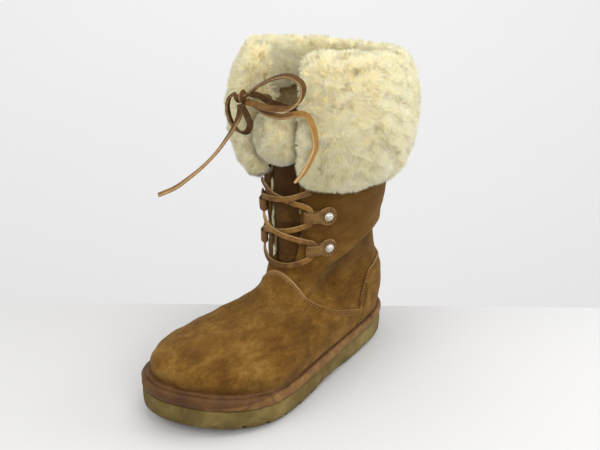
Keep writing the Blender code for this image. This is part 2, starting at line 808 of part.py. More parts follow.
knot_points = []
for step in range(9):
    along = step / 8.0
    around = 2.0 * math.pi * KNOT_TURNS * along + 2.6
    knot_points.append(KNOT + np.array((
        KNOT_PITCH * KNOT_TURNS * (along - 0.5),
        KNOT_RADIUS * math.cos(around),
        KNOT_RADIUS * math.sin(around),
    )))
cord("lace_knot", knot_points, 9)

# Tables hold x, y, z from the knot in bow units
BOW_LOOP_OUTER = [
    (0.098, -0.055, 0.055), (0.22, -0.075, 0.12), (0.42, -0.11, 0.26), (0.80, -0.16, 0.45), (1.10, -0.18, 0.52), (1.31, -0.18, 0.45),
    (1.33, -0.16, 0.31), (1.22, -0.14, 0.13), (0.99, -0.14, 0.00), (0.62, -0.13, -0.05), (0.30, -0.09, -0.045), (0.120, -0.055, -0.05),
]
BOW_LOOP_INNER = [
    (-0.153, -0.03, 0.03), (-0.24, -0.04, -0.02), (-0.28, -0.06, -0.14), (-0.25, -0.08, -0.30), (-0.13, -0.11, -0.46), (0.05, -0.14, -0.53),
    (0.21, -0.16, -0.50), (0.28, -0.16, -0.37), (0.20, -0.14, -0.24), (0.08, -0.115, -0.125),
]
END_LONG = [
    (-0.04, -0.02, -0.126), (0.00, -0.09, -0.26), (0.05, -0.24, -0.38), (0.02, -0.39, -0.56), (-0.03, -0.60, -0.77),
    (-0.14, -0.81, -0.98), (-0.27, -1.03, -1.16), (-0.39, -1.21, -1.29), (-0.56, -1.40, -1.39),
]
END_SHORT = [
    (0.133, 0.05, -0.07), (0.29, 0.05, -0.14), (0.50, 0.02, -0.19), (0.80, -0.01, -0.18), (1.04, 0.02, -0.11), (1.20, 0.08, -0.11),
    (1.29, 0.13, -0.26), (1.32, 0.17, -0.47), (1.31, 0.18, -0.66), (1.23, 0.12, -0.90), (1.16, 0.08, -1.05),
    (1.04, 0.05, -1.21),
]
RISE_OUTER = [
    (0.103, 0.07, 0.055), (0.19, 0.17, 0.02), (0.28, 0.27, -0.07), (0.46, 0.37, -0.13), (0.60, 0.46, -0.18), (0.745, 0.50, -0.19),
]
RISE_INNER = [
    (-0.06, 0.138, 0.00), (0.02, 0.33, -0.03), (0.065, 0.52, -0.08), (0.052, 0.62, -0.16),
]
for name, table, count in (
    ("lace_bow_outer", BOW_LOOP_OUTER, 15),
    ("lace_bow_inner", BOW_LOOP_INNER, 11),
    ("lace_end_long", END_LONG, 11),
    ("lace_end_short", END_SHORT, 14),
    ("lace_rise_outer", RISE_OUTER, 6),
    ("lace_rise_inner", RISE_INNER, 5),
):
    cord(name, [KNOT + np.array(place) * BOW for place in table], count)
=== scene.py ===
# A tall left lace-up boot in worn chestnut suede with a folded fleece cuff.
# Metres. The toe points toward -Y, the outer side of the foot toward +X, up is +Z.
# The origin is the middle of the heel's flat tread.
import math

import bmesh
import bpy
import numpy as np
from mathutils import Matrix, Vector, kdtree


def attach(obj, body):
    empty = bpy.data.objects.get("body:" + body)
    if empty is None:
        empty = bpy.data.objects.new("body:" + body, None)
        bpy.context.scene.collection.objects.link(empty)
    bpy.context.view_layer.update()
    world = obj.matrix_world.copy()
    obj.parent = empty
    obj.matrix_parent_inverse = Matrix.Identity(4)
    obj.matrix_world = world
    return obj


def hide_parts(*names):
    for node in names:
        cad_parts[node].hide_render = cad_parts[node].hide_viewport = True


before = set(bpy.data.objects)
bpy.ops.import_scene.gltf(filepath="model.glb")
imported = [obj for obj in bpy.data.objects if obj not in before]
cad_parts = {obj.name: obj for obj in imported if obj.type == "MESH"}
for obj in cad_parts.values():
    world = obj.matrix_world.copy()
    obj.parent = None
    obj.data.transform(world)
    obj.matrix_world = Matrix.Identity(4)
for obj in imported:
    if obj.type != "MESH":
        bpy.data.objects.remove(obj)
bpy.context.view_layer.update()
bpy.ops.object.select_all(action="DESELECT")

# Main sizes, as in the frame
LENGTH = 0.272
BALL = 0.115
SHAFT_HEIGHT = 0.262
HEEL_CENTRE = 0.043
TOE_SPRING = 0.012
TOE_BREAK = 0.70
ARCH_RISE = 0.0025
WALL = 0.003
OUTSOLE_TOP = 0.0176
WELT_BOTTOM = 0.0180
WELT_TOP = 0.0307
UPPER_BOTTOM = 0.0310
THROAT_BOTTOM = 0.098
CUFF_HEM = 0.173
CUFF_TOP = 0.286
CUFF_LINING_END = 0.242
CUFF_DEPTH = 0.028
CUFF_BACK_DEPTH = 0.0155
CUFF_EDGE_TURN = 2.80
CUFF_CORNER = 0.024

# Sole outline: share of the length, inner and outer half widths as shares of the ball
OUTLINE_ROWS = np.array([
    (0.000, 0.000, 0.000),
    (0.012, 0.140, 0.130),
    (0.045, 0.255, 0.250),
    (0.110, 0.345, 0.345),
    (0.200, 0.375, 0.395),
    (0.320, 0.360, 0.425),
    (0.440, 0.360, 0.455),
    (0.560, 0.415, 0.485),
    (0.670, 0.485, 0.512),
    (0.760, 0.512, 0.502),
    (0.850, 0.490, 0.425),
    (0.920, 0.412, 0.300),
    (0.970, 0.300, 0.140),
    (1.000, 0.100, -0.100),
])

# Rings of the upper from the feather edge to the top of the shaft
RING_COLUMNS = ("back", "front", "back_height", "front_height", "back_width", "front_width", "oval")
RING_ROWS = np.array([
    (0.024, 0.958, 0.1183, 0.1183, 0.920, 0.915, 0.00),
    (0.016, 0.964, 0.1565, 0.1530, 0.945, 0.915, 0.00),
    (0.010, 0.950, 0.1985, 0.1830, 0.940, 0.830, 0.00),
    (0.009, 0.903, 0.2366, 0.2045, 0.920, 0.680, 0.03),
    (0.012, 0.830, 0.2672, 0.2225, 0.890, 0.545, 0.12),
    (0.019, 0.722, 0.2977, 0.2370, 0.840, 0.440, 0.30),
    (0.027, 0.612, 0.3321, 0.2500, 0.790, 0.430, 0.55),
    (0.035, 0.532, 0.3740, 0.2760, 0.745, 0.505, 0.78),
    (0.034, 0.482, 0.4275, 0.3430, 0.735, 0.650, 0.93),
    (0.019, 0.467, 0.4962, 0.4530, 0.780, 0.765, 1.00),
    (0.001, 0.468, 0.5840, 0.5700, 0.855, 0.840, 1.00),
    (-0.009, 0.473, 0.7061, 0.7061, 0.925, 0.910, 1.00),
    (-0.010, 0.478, 0.8473, 0.8473, 0.960, 0.960, 1.00),
    (-0.010, 0.483, 1.0000, 1.0000, 1.000, 1.000, 1.00),
])
FIRST_FLAT_RING = 10
LAST_RING = len(RING_ROWS) - 1
RING_NUMBERS = np.arange(len(RING_ROWS), dtype=float)
RINGS = {name: RING_ROWS[:, place] for place, name in enumerate(RING_COLUMNS)}
OUTLINE_TURNS = np.arccos(1.0 - 2.0 * OUTLINE_ROWS[:, 0])
FULL = 2.0 * math.pi


# Curves and the form of the boot

def smooth_between(knots, values, at):
    """Cubic curve through the knots."""
    at = np.asarray(at, dtype=float)
    slopes = np.gradient(values, knots)
    index = np.clip(np.searchsorted(knots, at) - 1, 0, len(knots) - 2)
    step = knots[index + 1] - knots[index]
    t = (at - knots[index]) / step
    start = values[index] * (2 * t ** 3 - 3 * t ** 2 + 1)
    leave = slopes[index] * step * (t ** 3 - 2 * t ** 2 + t)
    end = values[index + 1] * (3 * t ** 2 - 2 * t ** 3)
    arrive = slopes[index + 1] * step * (t ** 3 - t ** 2)
    return start + leave + end + arrive


def ease(t):
    """Soft step from 0 to 1."""
    t = np.clip(t, 0.0, 1.0)
    return t * t * (3.0 - 2.0 * t)


def unit(rows):
    """Rows scaled to length 1."""
    return rows / np.maximum(np.linalg.norm(rows, axis=-1, keepdims=True), 1e-12)


def fold_turn(turn):
    """A full turn starts at the back of the heel and runs round the outer side first."""
    turn = np.mod(turn, FULL)
    outer = turn <= math.pi
    return np.where(outer, turn, FULL - turn), np.where(outer, 1.0, -1.0)


def half_width(angle, side):
    inner = smooth_between(OUTLINE_TURNS, OUTLINE_ROWS[:, 1], angle)
    outer = smooth_between(OUTLINE_TURNS, OUTLINE_ROWS[:, 2], angle)
    return np.where(side > 0.0, outer, inner)


def toe_rise(share):
    along = np.clip((share - TOE_BREAK) / (1.0 - TOE_BREAK), 0.0, 1.0)
    return TOE_SPRING * along ** 1.6


def arch_rise(share):
    return ARCH_RISE * ease((share - 0.34) / 0.08) * ease((0.56 - share) / 0.08)


def upper_point(level, turn):
    """Point on the outside of the upper."""
    level, turn = np.broadcast_arrays(np.asarray(level, dtype=float), np.asarray(turn, dtype=float))
    angle, side = fold_turn(turn)
    row = {name: smooth_between(RING_NUMBERS, RINGS[name], level) for name in RING_COLUMNS}
    along = (1.0 - np.cos(angle)) / 2.0
    foot = half_width(angle, side)
    ellipse = np.sin(angle) / 2.0
    width = row["back_width"] + (row["front_width"] - row["back_width"]) * ease((along - 0.15) / 0.5)
    across = (foot + (ellipse - foot) * row["oval"]) * width * BALL
    share = row["back"] + (row["front"] - row["back"]) * along
    height = (row["back_height"] + (row["front_height"] - row["back_height"]) * along) * SHAFT_HEIGHT
    fade = np.clip(1.0 - (row["back_height"] * SHAFT_HEIGHT - UPPER_BOTTOM) / 0.05, 0.0, 1.0)
    return np.stack((side * across, HEEL_CENTRE - share * LENGTH, height + toe_rise(share) * fade), axis=-1)


def upper_normal(level, turn):
    """Outward direction of the upper."""
    step = 0.04
    low = np.maximum(level - step, 0.0)
    high = np.minimum(level + step, float(LAST_RING))
    along = upper_point(level, turn + step) - upper_point(level, turn - step)
    upward = upper_point(high, turn) - upper_point(low, turn)
    return unit(np.cross(upward, along))


def skin(level, turn, out):
    """Point off the outside of the upper by a distance."""
    out = np.asarray(out, dtype=float)[..., None]
    return upper_point(level, turn) + upper_normal(level, turn) * out


def shaft_level(height):
    """Ring number at a height on the shaft."""
    heights = (RINGS["back_height"] + RINGS["front_height"])[FIRST_FLAT_RING:] * SHAFT_HEIGHT / 2.0
    return np.interp(height, heights, RING_NUMBERS[FIRST_FLAT_RING:])


def throat_level(height):
    """Ring number at a height on the front of the boot."""
    heights = RINGS["front_height"][5:] * SHAFT_HEIGHT
    return np.interp(height, heights, RING_NUMBERS[5:])


def waves(points, length, seed, parts=7):
    """Smooth uneven field from about -1 to 1 with bumps of a length."""
    random = np.random.default_rng(seed)
    field = np.zeros(points.shape[:-1])
    for _ in range(parts):
        direction = unit(random.normal(size=3))
        stretch = random.uniform(0.7, 1.5)
        phase = random.uniform(0.0, FULL)
        field += np.sin(points @ direction * (FULL * stretch / length) + phase)
    return field / math.sqrt(parts * 1.2)


# Folds of the worn suede: side of the foot, two ends as share of length and height above
# the floor as share of the shaft, reach above and below the line, depth
FOLD_ROWS = [
    (1, 0.150, 0.432, 0.262, 0.402, 0.0042, 0.0150, 0.0036),
    (1, 0.262, 0.402, 0.395, 0.346, 0.0042, 0.0120, 0.0036),
    (1, 0.385, 0.340, 0.455, 0.300, 0.0045, 0.0080, 0.0016),
    (1, 0.330, 0.330, 0.400, 0.305, 0.0050, 0.0060, 0.0014),
    (1, 0.060, 0.420, 0.150, 0.432, 0.0040, 0.0120, 0.0026),
    (1, 0.120, 0.350, 0.240, 0.322, 0.0060, 0.0060, 0.0010),
    (1, 0.220, 0.560, 0.420, 0.520, 0.0090, 0.0090, 0.0009),
    (1, 0.060, 0.600, 0.240, 0.585, 0.0080, 0.0080, 0.0008),
    (-1, 0.120, 0.440, 0.270, 0.405, 0.0045, 0.0130, 0.0030),
    (-1, 0.270, 0.405, 0.410, 0.340, 0.0045, 0.0110, 0.0032),
    (-1, 0.150, 0.355, 0.290, 0.318, 0.0060, 0.0060, 0.0012),
    (-1, 0.200, 0.545, 0.410, 0.510, 0.0090, 0.0090, 0.0010),
    (0, 0.020, 0.395, 0.080, 0.412, 0.0040, 0.0080, 0.0016),
    (0, 0.000, 0.465, 0.080, 0.470, 0.0050, 0.0070, 0.0011),
    (0, 0.560, 0.262, 0.540, 0.205, 0.0050, 0.0060, 0.0010),
    (1, 0.600, 0.246, 0.585, 0.190, 0.0045, 0.0055, 0.0009),
    (-1, 0.585, 0.246, 0.600, 0.175, 0.0045, 0.0055, 0.0011),
    (1, 0.705, 0.205, 0.660, 0.160, 0.0060, 0.0060, 0.0007),
]


def folds(points):
    """Depth of the folds at points, and how much painted shade each point gets in and below a fold."""
    along = (HEEL_CENTRE - points[..., 1])
    height = points[..., 2]
    lift = np.zeros(along.shape)
    painted_fold_shade = np.zeros(along.shape)
    for side, share_a, height_a, share_b, height_b, above, below, depth in FOLD_ROWS:
        start = np.array((share_a * LENGTH, height_a * SHAFT_HEIGHT))
        end = np.array((share_b * LENGTH, height_b * SHAFT_HEIGHT))
        span = np.linalg.norm(end - start)
        ahead = (end - start) / span
        forward = (along - start[0]) * ahead[0] + (height - start[1]) * ahead[1]
        upward = (height - start[1]) * ahead[0] - (along - start[0]) * ahead[1]
        wander = 0.0012 * np.sin(forward * 190.0 + share_a * 40.0)
        upward = upward + wander
        ends = ease((forward + 0.010) / 0.024) * ease((span - forward + 0.010) / 0.024)
        reach = np.where(upward > 0.0, above, below)
        shape = np.exp(-(upward / reach) ** 2)
        ridge = 0.42 * np.exp(-((upward - 1.9 * above) / (1.3 * above)) ** 2)
        here = np.ones(along.shape)
        if side != 0:
            here = ease((side * points[..., 0] + 0.004) / 0.014)
        lift += here * ends * depth * (ridge - shape)
        # Painted shade: darkest in the fold and spread in a broad band below it
        shadow = 0.62 * np.exp(-((upward + 0.7 * below) / (1.1 * below)) ** 2)
        painted_fold_shade += here * ends * np.maximum(shape, shadow) * depth / 0.0034
    return lift, painted_fold_shade


def suede_lift(points):
    """Relief of the worn suede: folds, slack and a little unevenness, and the painted shade of the folds.
    """
    lift, painted_fold_shade = folds(points)
    slack = 0.00042 * waves(points, 0.034, 11) + 0.00020 * waves(points, 0.013, 12)
    return lift + slack, np.clip(painted_fold_shade, 0.0, 1.0)


def suede_skin(level, turn, out):
    """Point on the worn suede surface, and the painted shade of the folds there."""
    plain = upper_point(level, turn)
    normal = upper_normal(level, turn)
    lift, painted_fold_shade = suede_lift(plain)
    low = ease((plain[..., 2] - UPPER_BOTTOM) / 0.010)
    out = np.asarray(out, dtype=float)
    return plain + normal * (out + lift * low)[..., None], painted_fold_shade


# Mesh helpers

def mesh_piece(name, points, faces, smooth=True):
    """Object from points and faces."""
    mesh = bpy.data.meshes.new(name)
    face_rows = faces if isinstance(faces, list) else faces.tolist()
    mesh.from_pydata(np.asarray(points).reshape(-1, 3).tolist(), [], face_rows)
    mesh.update()
    if smooth:
        mesh.shade_smooth()
    item = bpy.data.objects.new(name, mesh)
    bpy.context.scene.collection.objects.link(item)
    return item


def point_values(item, name, values):
    """Store a value on each point of a piece; one number counts for all of them."""
    values = np.asarray(values, dtype=np.float32)
    if values.ndim == 0:
        values = np.full(len(item.data.vertices), values, dtype=np.float32)
    layer = item.data.attributes.new(name, "FLOAT", "POINT")
    layer.data.foreach_set("value", values.ravel())


def grid_faces(rows, columns, closed):
    """Quads of a grid whose rows go up and whose columns go round."""
    low = np.arange(rows - 1)[:, None] * columns
    count = columns if closed else columns - 1
    place = np.arange(count)[None, :]
    after = (place + 1) % columns
    quads = np.stack((low + place, low + columns + place, low + columns + after, low + after), axis=-1)
    return quads.reshape(-1, 4)


def plate_faces(rows, columns, closed):
    """Faces of a wall between an outer grid and an inner grid of the same size."""
    outer = grid_faces(rows, columns, closed)
    inner = grid_faces(rows, columns, closed)[:, ::-1] + rows * columns
    count = columns if closed else columns - 1
    place = np.arange(count)
    after = (place + 1) % columns
    other = rows * columns
    top = (rows - 1) * columns
    rims = [
        np.stack((after, after + other, place + other, place), axis=-1),
        np.stack((place + top, place + top + other, after + top + other, after + top), axis=-1),
    ]
    if not closed:
        step = np.arange(rows - 1) * columns
        last = step + columns - 1
        rims.append(np.stack((step, step + other, step + columns + other, step + columns), axis=-1))
        rims.append(np.stack((last + columns, last + columns + other, last + other, last), axis=-1))
    return outer, inner, np.concatenate(rims)


def face_outward(item):
    """Turn all faces of a closed mesh outward."""
    shape = bmesh.new()
    shape.from_mesh(item.data)
    bmesh.ops.recalc_face_normals(shape, faces=shape.faces)
    shape.to_mesh(item.data)
    shape.free()


def cut_away(item, cutter):
    """Cut one piece out of another."""
    cut = item.modifiers.new("Cut", "BOOLEAN")
    cut.operation = "DIFFERENCE"
    cut.solver = "EXACT"
    cut.object = cutter
    bpy.ops.object.select_all(action="DESELECT")
    bpy.context.view_layer.objects.active = item
    item.select_set(True)
    bpy.ops.object.modifier_apply(modifier=cut.name)
    item.select_set(False)
    bpy.data.objects.remove(cutter, do_unlink=True)


def join(name, items):
    """Join pieces into one."""
    bpy.ops.object.select_all(action="DESELECT")
    for item in items:
        item.select_set(True)
    bpy.context.view_layer.objects.active = items[0]
    bpy.ops.object.join()
    made = bpy.context.view_layer.objects.active
    made.name = name
    made.data.name = name
    made.select_set(False)
    return made


def dress(item, material, slot, *nodes):
    """Give a finished piece its material, its body and the nodes it stands for."""
    if material is not None:
        item.data.materials.clear()
        item.data.materials.append(material)
    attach(item, "root")
    if nodes:
        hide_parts(*nodes)
    return item


# Material helpers

class Finish:
    """A material with short calls for its nodes."""

    def __init__(self, name, roughness, **constants):
        self.material = bpy.data.materials.new(name)
        self.material.use_nodes = True
        self.tree = self.material.node_tree
        self.shader = self.tree.nodes["Principled BSDF"]
        self.shader.inputs["Roughness"].default_value = roughness
        for socket, value in constants.items():
            self.shader.inputs[socket.replace("_", " ")].default_value = value
        self.place = self.tree.nodes.new("ShaderNodeTexCoord").outputs["Object"]

    def link(self, start, end):
        self.tree.links.new(start, end)

    def stretch(self, scale):
        """Object coordinates scaled unevenly."""
        node = self.tree.nodes.new("ShaderNodeMapping")
        node.inputs["Scale"].default_value = scale
        self.link(self.place, node.inputs["Vector"])
        return node.outputs["Vector"]

    def noise(self, scale, detail=4.0, roughness=0.55, distortion=0.0, place=None):
        node = self.tree.nodes.new("ShaderNodeTexNoise")
        node.inputs["Scale"].default_value = scale
        node.inputs["Detail"].default_value = detail
        node.inputs["Roughness"].default_value = roughness
        node.inputs["Distortion"].default_value = distortion
        self.link(place or self.place, node.inputs["Vector"])
        return node.outputs["Fac"]

    def cells(self, scale):
        node = self.tree.nodes.new("ShaderNodeTexVoronoi")
        node.inputs["Scale"].default_value = scale
        self.link(self.place, node.inputs["Vector"])
        return node.outputs["Distance"]

    def value(self, name):
        """A value stored on the piece's points."""
        node = self.tree.nodes.new("ShaderNodeAttribute")
        node.attribute_name = name
        return node.outputs["Fac"]

    def position(self, axis):
        """One coordinate of the place on the boot."""
        node = self.tree.nodes.new("ShaderNodeSeparateXYZ")
        self.link(self.place, node.inputs["Vector"])
        return node.outputs[axis]

    def height(self):
        """Height above the floor."""
        return self.position("Z")

    def spread(self, scale, low=0.0, high=1.0, **details):
        """Noise stretched to a range."""
        return self.span(self.noise(scale, **details), 0.3, 0.7, low, high)

    def span(self, value, low, high, start=0.0, end=1.0):
        """Value remapped from one range to another."""
        node = self.tree.nodes.new("ShaderNodeMapRange")
        node.inputs["From Min"].default_value = low
        node.inputs["From Max"].default_value = high
        node.inputs["To Min"].default_value = start
        node.inputs["To Max"].default_value = end
        self.link(value, node.inputs["Value"])
        return node.outputs["Result"]

    def sum(self, kind, first, second):
        """Arithmetic between a value and another value or a number."""
        node = self.tree.nodes.new("ShaderNodeMath")
        node.operation = kind
        self.link(first, node.inputs[0])
        if isinstance(second, (int, float)):
            node.inputs[1].default_value = second
        else:
            self.link(second, node.inputs[1])
        return node.outputs["Value"]

    def ramp(self, value, *stops):
        """Colours along a value."""
        node = self.tree.nodes.new("ShaderNodeValToRGB")
        elements = node.color_ramp.elements
        while len(elements) < len(stops):
            elements.new(0.5)
        for element, (place, colour) in zip(elements, stops):
            element.position = place
            element.color = (*colour, 1.0)
        self.link(value, node.inputs["Fac"])
        return node.outputs["Color"]

    def mix(self, share, colour, other):
        """Move a colour towards another, fixed one by a share."""
        node = self.tree.nodes.new("ShaderNodeMix")
        node.data_type = "RGBA"
        factor, first, second = (node.inputs[place] for place in (0, 6, 7))
        self.link(share, factor)
        self.link(colour, first)
        second.default_value = (*other, 1.0)
        return node.outputs[2]

    def colour(self, value):
        self.link(value, self.shader.inputs["Base Color"])

    def roughness(self, value):
        self.link(value, self.shader.inputs["Roughness"])

    def bump(self, *layers):
        """Height fields with their strength and depth, one over the other."""
        normal = None
        for height, strength, depth in layers:
            node = self.tree.nodes.new("ShaderNodeBump")
            node.inputs["Strength"].default_value = strength
            node.inputs["Distance"].default_value = depth
            self.link(height, node.inputs["Height"])
            if normal is not None:
                self.link(normal, node.inputs["Normal"])
            normal = node.outputs["Normal"]
        self.link(normal, self.shader.inputs["Normal"])


def suede_finish(name, light, middle, dark, seed_shift):
    """Brushed suede with lighter and darker nap."""
    finish = Finish(name, 0.92, Sheen_Weight=0.12, Sheen_Roughness=0.45, Specular_IOR_Level=0.10)
    finish.shader.inputs["Sheen Tint"].default_value = (0.95, 0.66, 0.32, 1.0)
    broad = finish.noise(22.0 + seed_shift, 4.0, 0.60, 0.3)
    strokes = finish.noise(66.0 + seed_shift, 7.0, 0.68, 0.4, finish.stretch((1.0, 0.6, 1.15)))
    brushed = finish.noise(210.0, 6.0, 0.74, 0.5, finish.stretch((1.0, 0.45, 1.25)))
    nap = finish.noise(900.0, 3.0, 0.7)
    both = finish.sum("ADD", finish.sum("MULTIPLY", broad, 0.36), finish.sum("MULTIPLY", strokes, 0.36))
    both = finish.sum("ADD", both, finish.sum("MULTIPLY", brushed, 0.28))
    field = finish.span(both, 0.41, 0.60)
    colour = finish.ramp(field, (0.0, dark), (0.48, middle), (1.0, light))
    speckle = finish.span(nap, 0.38, 0.70, 0.0, 0.34)
    colour = finish.mix(speckle, colour, tuple(0.45 * part for part in dark))
    # Painted shade: darker in the folds and in a broad band below them
    painted_fold_shade = finish.sum("MULTIPLY", finish.value("painted_fold_shade"), 0.78)
    colour = finish.mix(painted_fold_shade, colour, tuple(0.40 * part for part in dark))
    low = finish.span(finish.height(), 0.034, 0.058, 0.60, 0.0)
    soil = finish.sum("MULTIPLY", low, finish.span(finish.noise(55.0, 4.0), 0.42, 0.68))
    colour = finish.mix(soil, colour, (0.050, 0.024, 0.008))
    # Painted shade: the shaft darkens upward, standing in for the cuff's shadow and for less light on its
    # upright faces
    high = finish.span(finish.height(), 0.082, 0.165, 0.0, 0.74)
    colour = finish.mix(high, colour, tuple(0.70 * part for part in dark))
    # The panels' cut edges: a pale top, its own raw colour partly brightened as painted highlight, and
    # painted shade at their foot and underneath
    edge_pale_and_shade = finish.value("edge_pale_and_shade")
    colour = finish.mix(finish.span(edge_pale_and_shade, 0.0, 0.5), colour, (0.360, 0.210, 0.085))
    colour = finish.mix(finish.span(edge_pale_and_shade, 0.5, 1.0), colour, (0.035, 0.014, 0.004))
    finish.colour(colour)
    finish.roughness(finish.span(strokes, 0.3, 0.7, 0.84, 0.98))
    pores = finish.noise(2600.0, 2.0, 0.6)
    finish.bump(
        (strokes, 0.45, 0.0012), (brushed, 0.40, 0.0006), (nap, 0.45, 0.0004), (pores, 0.30, 0.0002))
    return finish.material


def wool_finish(name, roots, middle, tips):
    """Cream sheepskin wool, yellower in its depths, and darker there as painted shade."""
    finish = Finish(name, 0.98, Specular_IOR_Level=0.03)
    finish.shader.inputs["Subsurface Weight"].default_value = 0.45
    finish.shader.inputs["Subsurface Radius"].default_value = (0.0060, 0.0046, 0.0024)
    tone = finish.value("tone")
    patches = finish.span(finish.noise(42.0, 4.0, 0.6, 0.8), 0.35, 0.65, -0.17, 0.17)
    fine = finish.span(finish.noise(420.0, 3.0, 0.6), 0.3, 0.7, -0.20, 0.16)
    both = finish.sum("ADD", finish.sum("ADD", tone, patches), fine)
    finish.colour(finish.ramp(both, (0.0, roots), (0.45, middle), (1.0, tips)))
    finish.bump((finish.noise(700.0, 4.0, 0.7, 1.5), 0.2, 0.0006))
    return finish.material


# Camera, backdrop and light

CAMERA_AZIMUTH = math.radians(38.0)
CAMERA_ELEVATION = math.radians(22.5)
CAMERA_ROLL = math.radians(0.5)
CAMERA_DISTANCE = 0.7492
CAMERA_TARGET = np.array((0.0001, -0.0600, 0.1267))

backward = np.array((
    math.sin(CAMERA_AZIMUTH) * math.cos(CAMERA_ELEVATION),
    -math.cos(CAMERA_AZIMUTH) * math.cos(CAMERA_ELEVATION),
    math.sin(CAMERA_ELEVATION),
))
sideways = unit(np.cross(-backward, (0.0, 0.0, 1.0)))
upright = np.cross(sideways, -backward)
camera_x = math.cos(CAMERA_ROLL) * sideways + math.sin(CAMERA_ROLL) * upright
camera_y = -math.sin(CAMERA_ROLL) * sideways + math.cos(CAMERA_ROLL) * upright
camera_place = CAMERA_TARGET + backward * CAMERA_DISTANCE

camera_data = bpy.data.cameras.new("camera")
camera_data.lens = 51.0
camera_data.sensor_width = 36.0
camera_data.clip_start = 0.01
camera = bpy.data.objects.new("camera", camera_data)
camera.matrix_world = Matrix((
    (camera_x[0], camera_y[0], backward[0], camera_place[0]),
    (camera_x[1], camera_y[1], backward[1], camera_place[1]),
    (camera_x[2], camera_y[2], backward[2], camera_place[2]),
    (0.0, 0.0, 0.0, 1.0),
))
bpy.context.scene.collection.objects.link(camera)
bpy.context.scene.camera = camera
bpy.context.scene.view_settings.view_transform = "Standard"


def plain_finish(name, shade, glow):
    """Matt pale paint with a faint unevenness and some light of its own."""
    finish = Finish(name, 0.85, Specular_IOR_Level=0.20)
    pale = (shade, shade, shade * 1.008)
    paler = tuple(part * 1.02 for part in pale)
    finish.colour(finish.ramp(finish.noise(3.0, 2.0), (0.0, pale), (1.0, paler)))
    finish.shader.inputs["Emission Color"].default_value = (1.0, 1.0, 1.0, 1.0)
    finish.shader.inputs["Emission Strength"].default_value = glow
    return finish.material


# The table ends just behind the boot and the wall stands well behind it
heading = np.array((-math.sin(CAMERA_AZIMUTH), math.cos(CAMERA_AZIMUTH), 0.0))
TABLE_EDGE = 0.0893
WALL_DISTANCE = 1.60
TABLE_SIZE = 3.0
WALL_SIZE = 9.0
# How pale the paint is and how much light of its own it gives
TABLE_PAINT = (0.585, 0.01)
WALL_PAINT = (0.80, 0.16)
ROOM_LIGHT = 0.69
table_place = CAMERA_TARGET * (1.0, 1.0, 0.0) + heading * (TABLE_EDGE - TABLE_SIZE / 2.0)
bpy.ops.mesh.primitive_plane_add(
    size=TABLE_SIZE,
    location=(table_place[0], table_place[1], 0.0),
    rotation=(0.0, 0.0, CAMERA_AZIMUTH),
)
floor = bpy.context.active_object
floor.name = "floor"
wall_place = CAMERA_TARGET * (1.0, 1.0, 0.0) + heading * WALL_DISTANCE
bpy.ops.mesh.primitive_plane_add(
    size=WALL_SIZE,
    location=(wall_place[0], wall_place[1], 1.0),
    rotation=(math.pi / 2.0, 0.0, CAMERA_AZIMUTH),
)
backdrop = bpy.context.active_object
backdrop.name = "backdrop"
for item, (shade, glow) in ((floor, TABLE_PAINT), (backdrop, WALL_PAINT)):
    bpy.ops.object.select_all(action="DESELECT")
    item.select_set(True)
    bpy.context.view_layer.objects.active = item
    bpy.ops.object.transform_apply(location=True, rotation=True, scale=True)
    item.data.materials.append(plain_finish(item.name + "_paint", shade, glow))
bpy.ops.object.select_all(action="DESELECT")

world = bpy.data.worlds.new("soft_room")
world.use_nodes = True
world.node_tree.nodes["Background"].inputs["Color"].default_value = (1.0, 1.0, 1.01, 1.0)
world.node_tree.nodes["Background"].inputs["Strength"].default_value = ROOM_LIGHT
bpy.context.scene.world = world


def soft_light(name, place, aim, size, power, colour):
    """Square soft box aimed at a point."""
    data = bpy.data.lights.new(name, "AREA")
    data.size = size
    data.energy = power
    data.color = colour
    item = bpy.data.objects.new(name, data)
    direction = Vector(aim) - Vector(place)
    turned = direction.to_track_quat("-Z", "Y").to_matrix().to_4x4()
    item.matrix_world = Matrix.Translation(place) @ turned
    bpy.context.scene.collection.objects.link(item)


# name, place, aim, size, watts, colour
LIGHTS = [
    ("light_above", (0.12, 0.05, 1.65), (0.0, -0.06, 0.08), 1.2, 10.0, (1.0, 0.985, 0.95)),
    ("light_right", (0.75, -0.55, 0.62), (0.0, -0.05, 0.22), 0.5, 3.6, (1.0, 0.98, 0.94)),
    ("light_left", (-0.30, -0.90, 0.80), (0.0, -0.05, 0.22), 0.6, 3.9, (1.0, 0.99, 0.95)),
    ("light_heel", (0.62, 0.30, 0.34), (0.12, 0.04, 0.0), 0.4, 1.7, (1.0, 1.0, 1.0)),
]
for light in LIGHTS:
    soft_light(*light)


# Leather laces

LACE_WIDTH = 0.0052
LACE_THICKNESS = 0.0021
LACE_SPACING = 0.0012     # between two sections of a lace

leather = Finish("lace_leather", 0.66, Specular_IOR_Level=0.14)
leather_shift = leather.spread(110.0, -0.22, 0.22, detail=5.0, roughness=0.65, distortion=0.8)
leather_field = leather.sum("ADD", leather.value("tone"), leather_shift)
leather_colour = leather.ramp(
    leather_field, (0.0, (0.028, 0.012, 0.004)), (0.5, (0.105, 0.050, 0.014)), (1.0, (0.330, 0.170, 0.042)))
leather.colour(leather_colour)
leather.roughness(leather.spread(300.0, 0.50, 0.74, detail=3.0))
leather.bump((leather.noise(900.0, 4.0, 0.6), 0.35, 0.0003), (leather.cells(1500.0), 0.25, 0.00015))

edge_leather = Finish("lace_cut_edge", 0.8, Specular_IOR_Level=0.20)
edge_shift = edge_leather.spread(400.0, -0.2, 0.2)
edge_field = edge_leather.sum("ADD", edge_leather.value("tone"), edge_shift)
edge_leather.colour(edge_leather.ramp(
    edge_field, (0.0, (0.110, 0.055, 0.022)), (1.0, (0.520, 0.340, 0.150))))
edge_leather.bump((edge_leather.noise(1400.0, 3.0), 0.5, 0.0003))

LACE_MATERIALS = (leather.material, edge_leather.material)

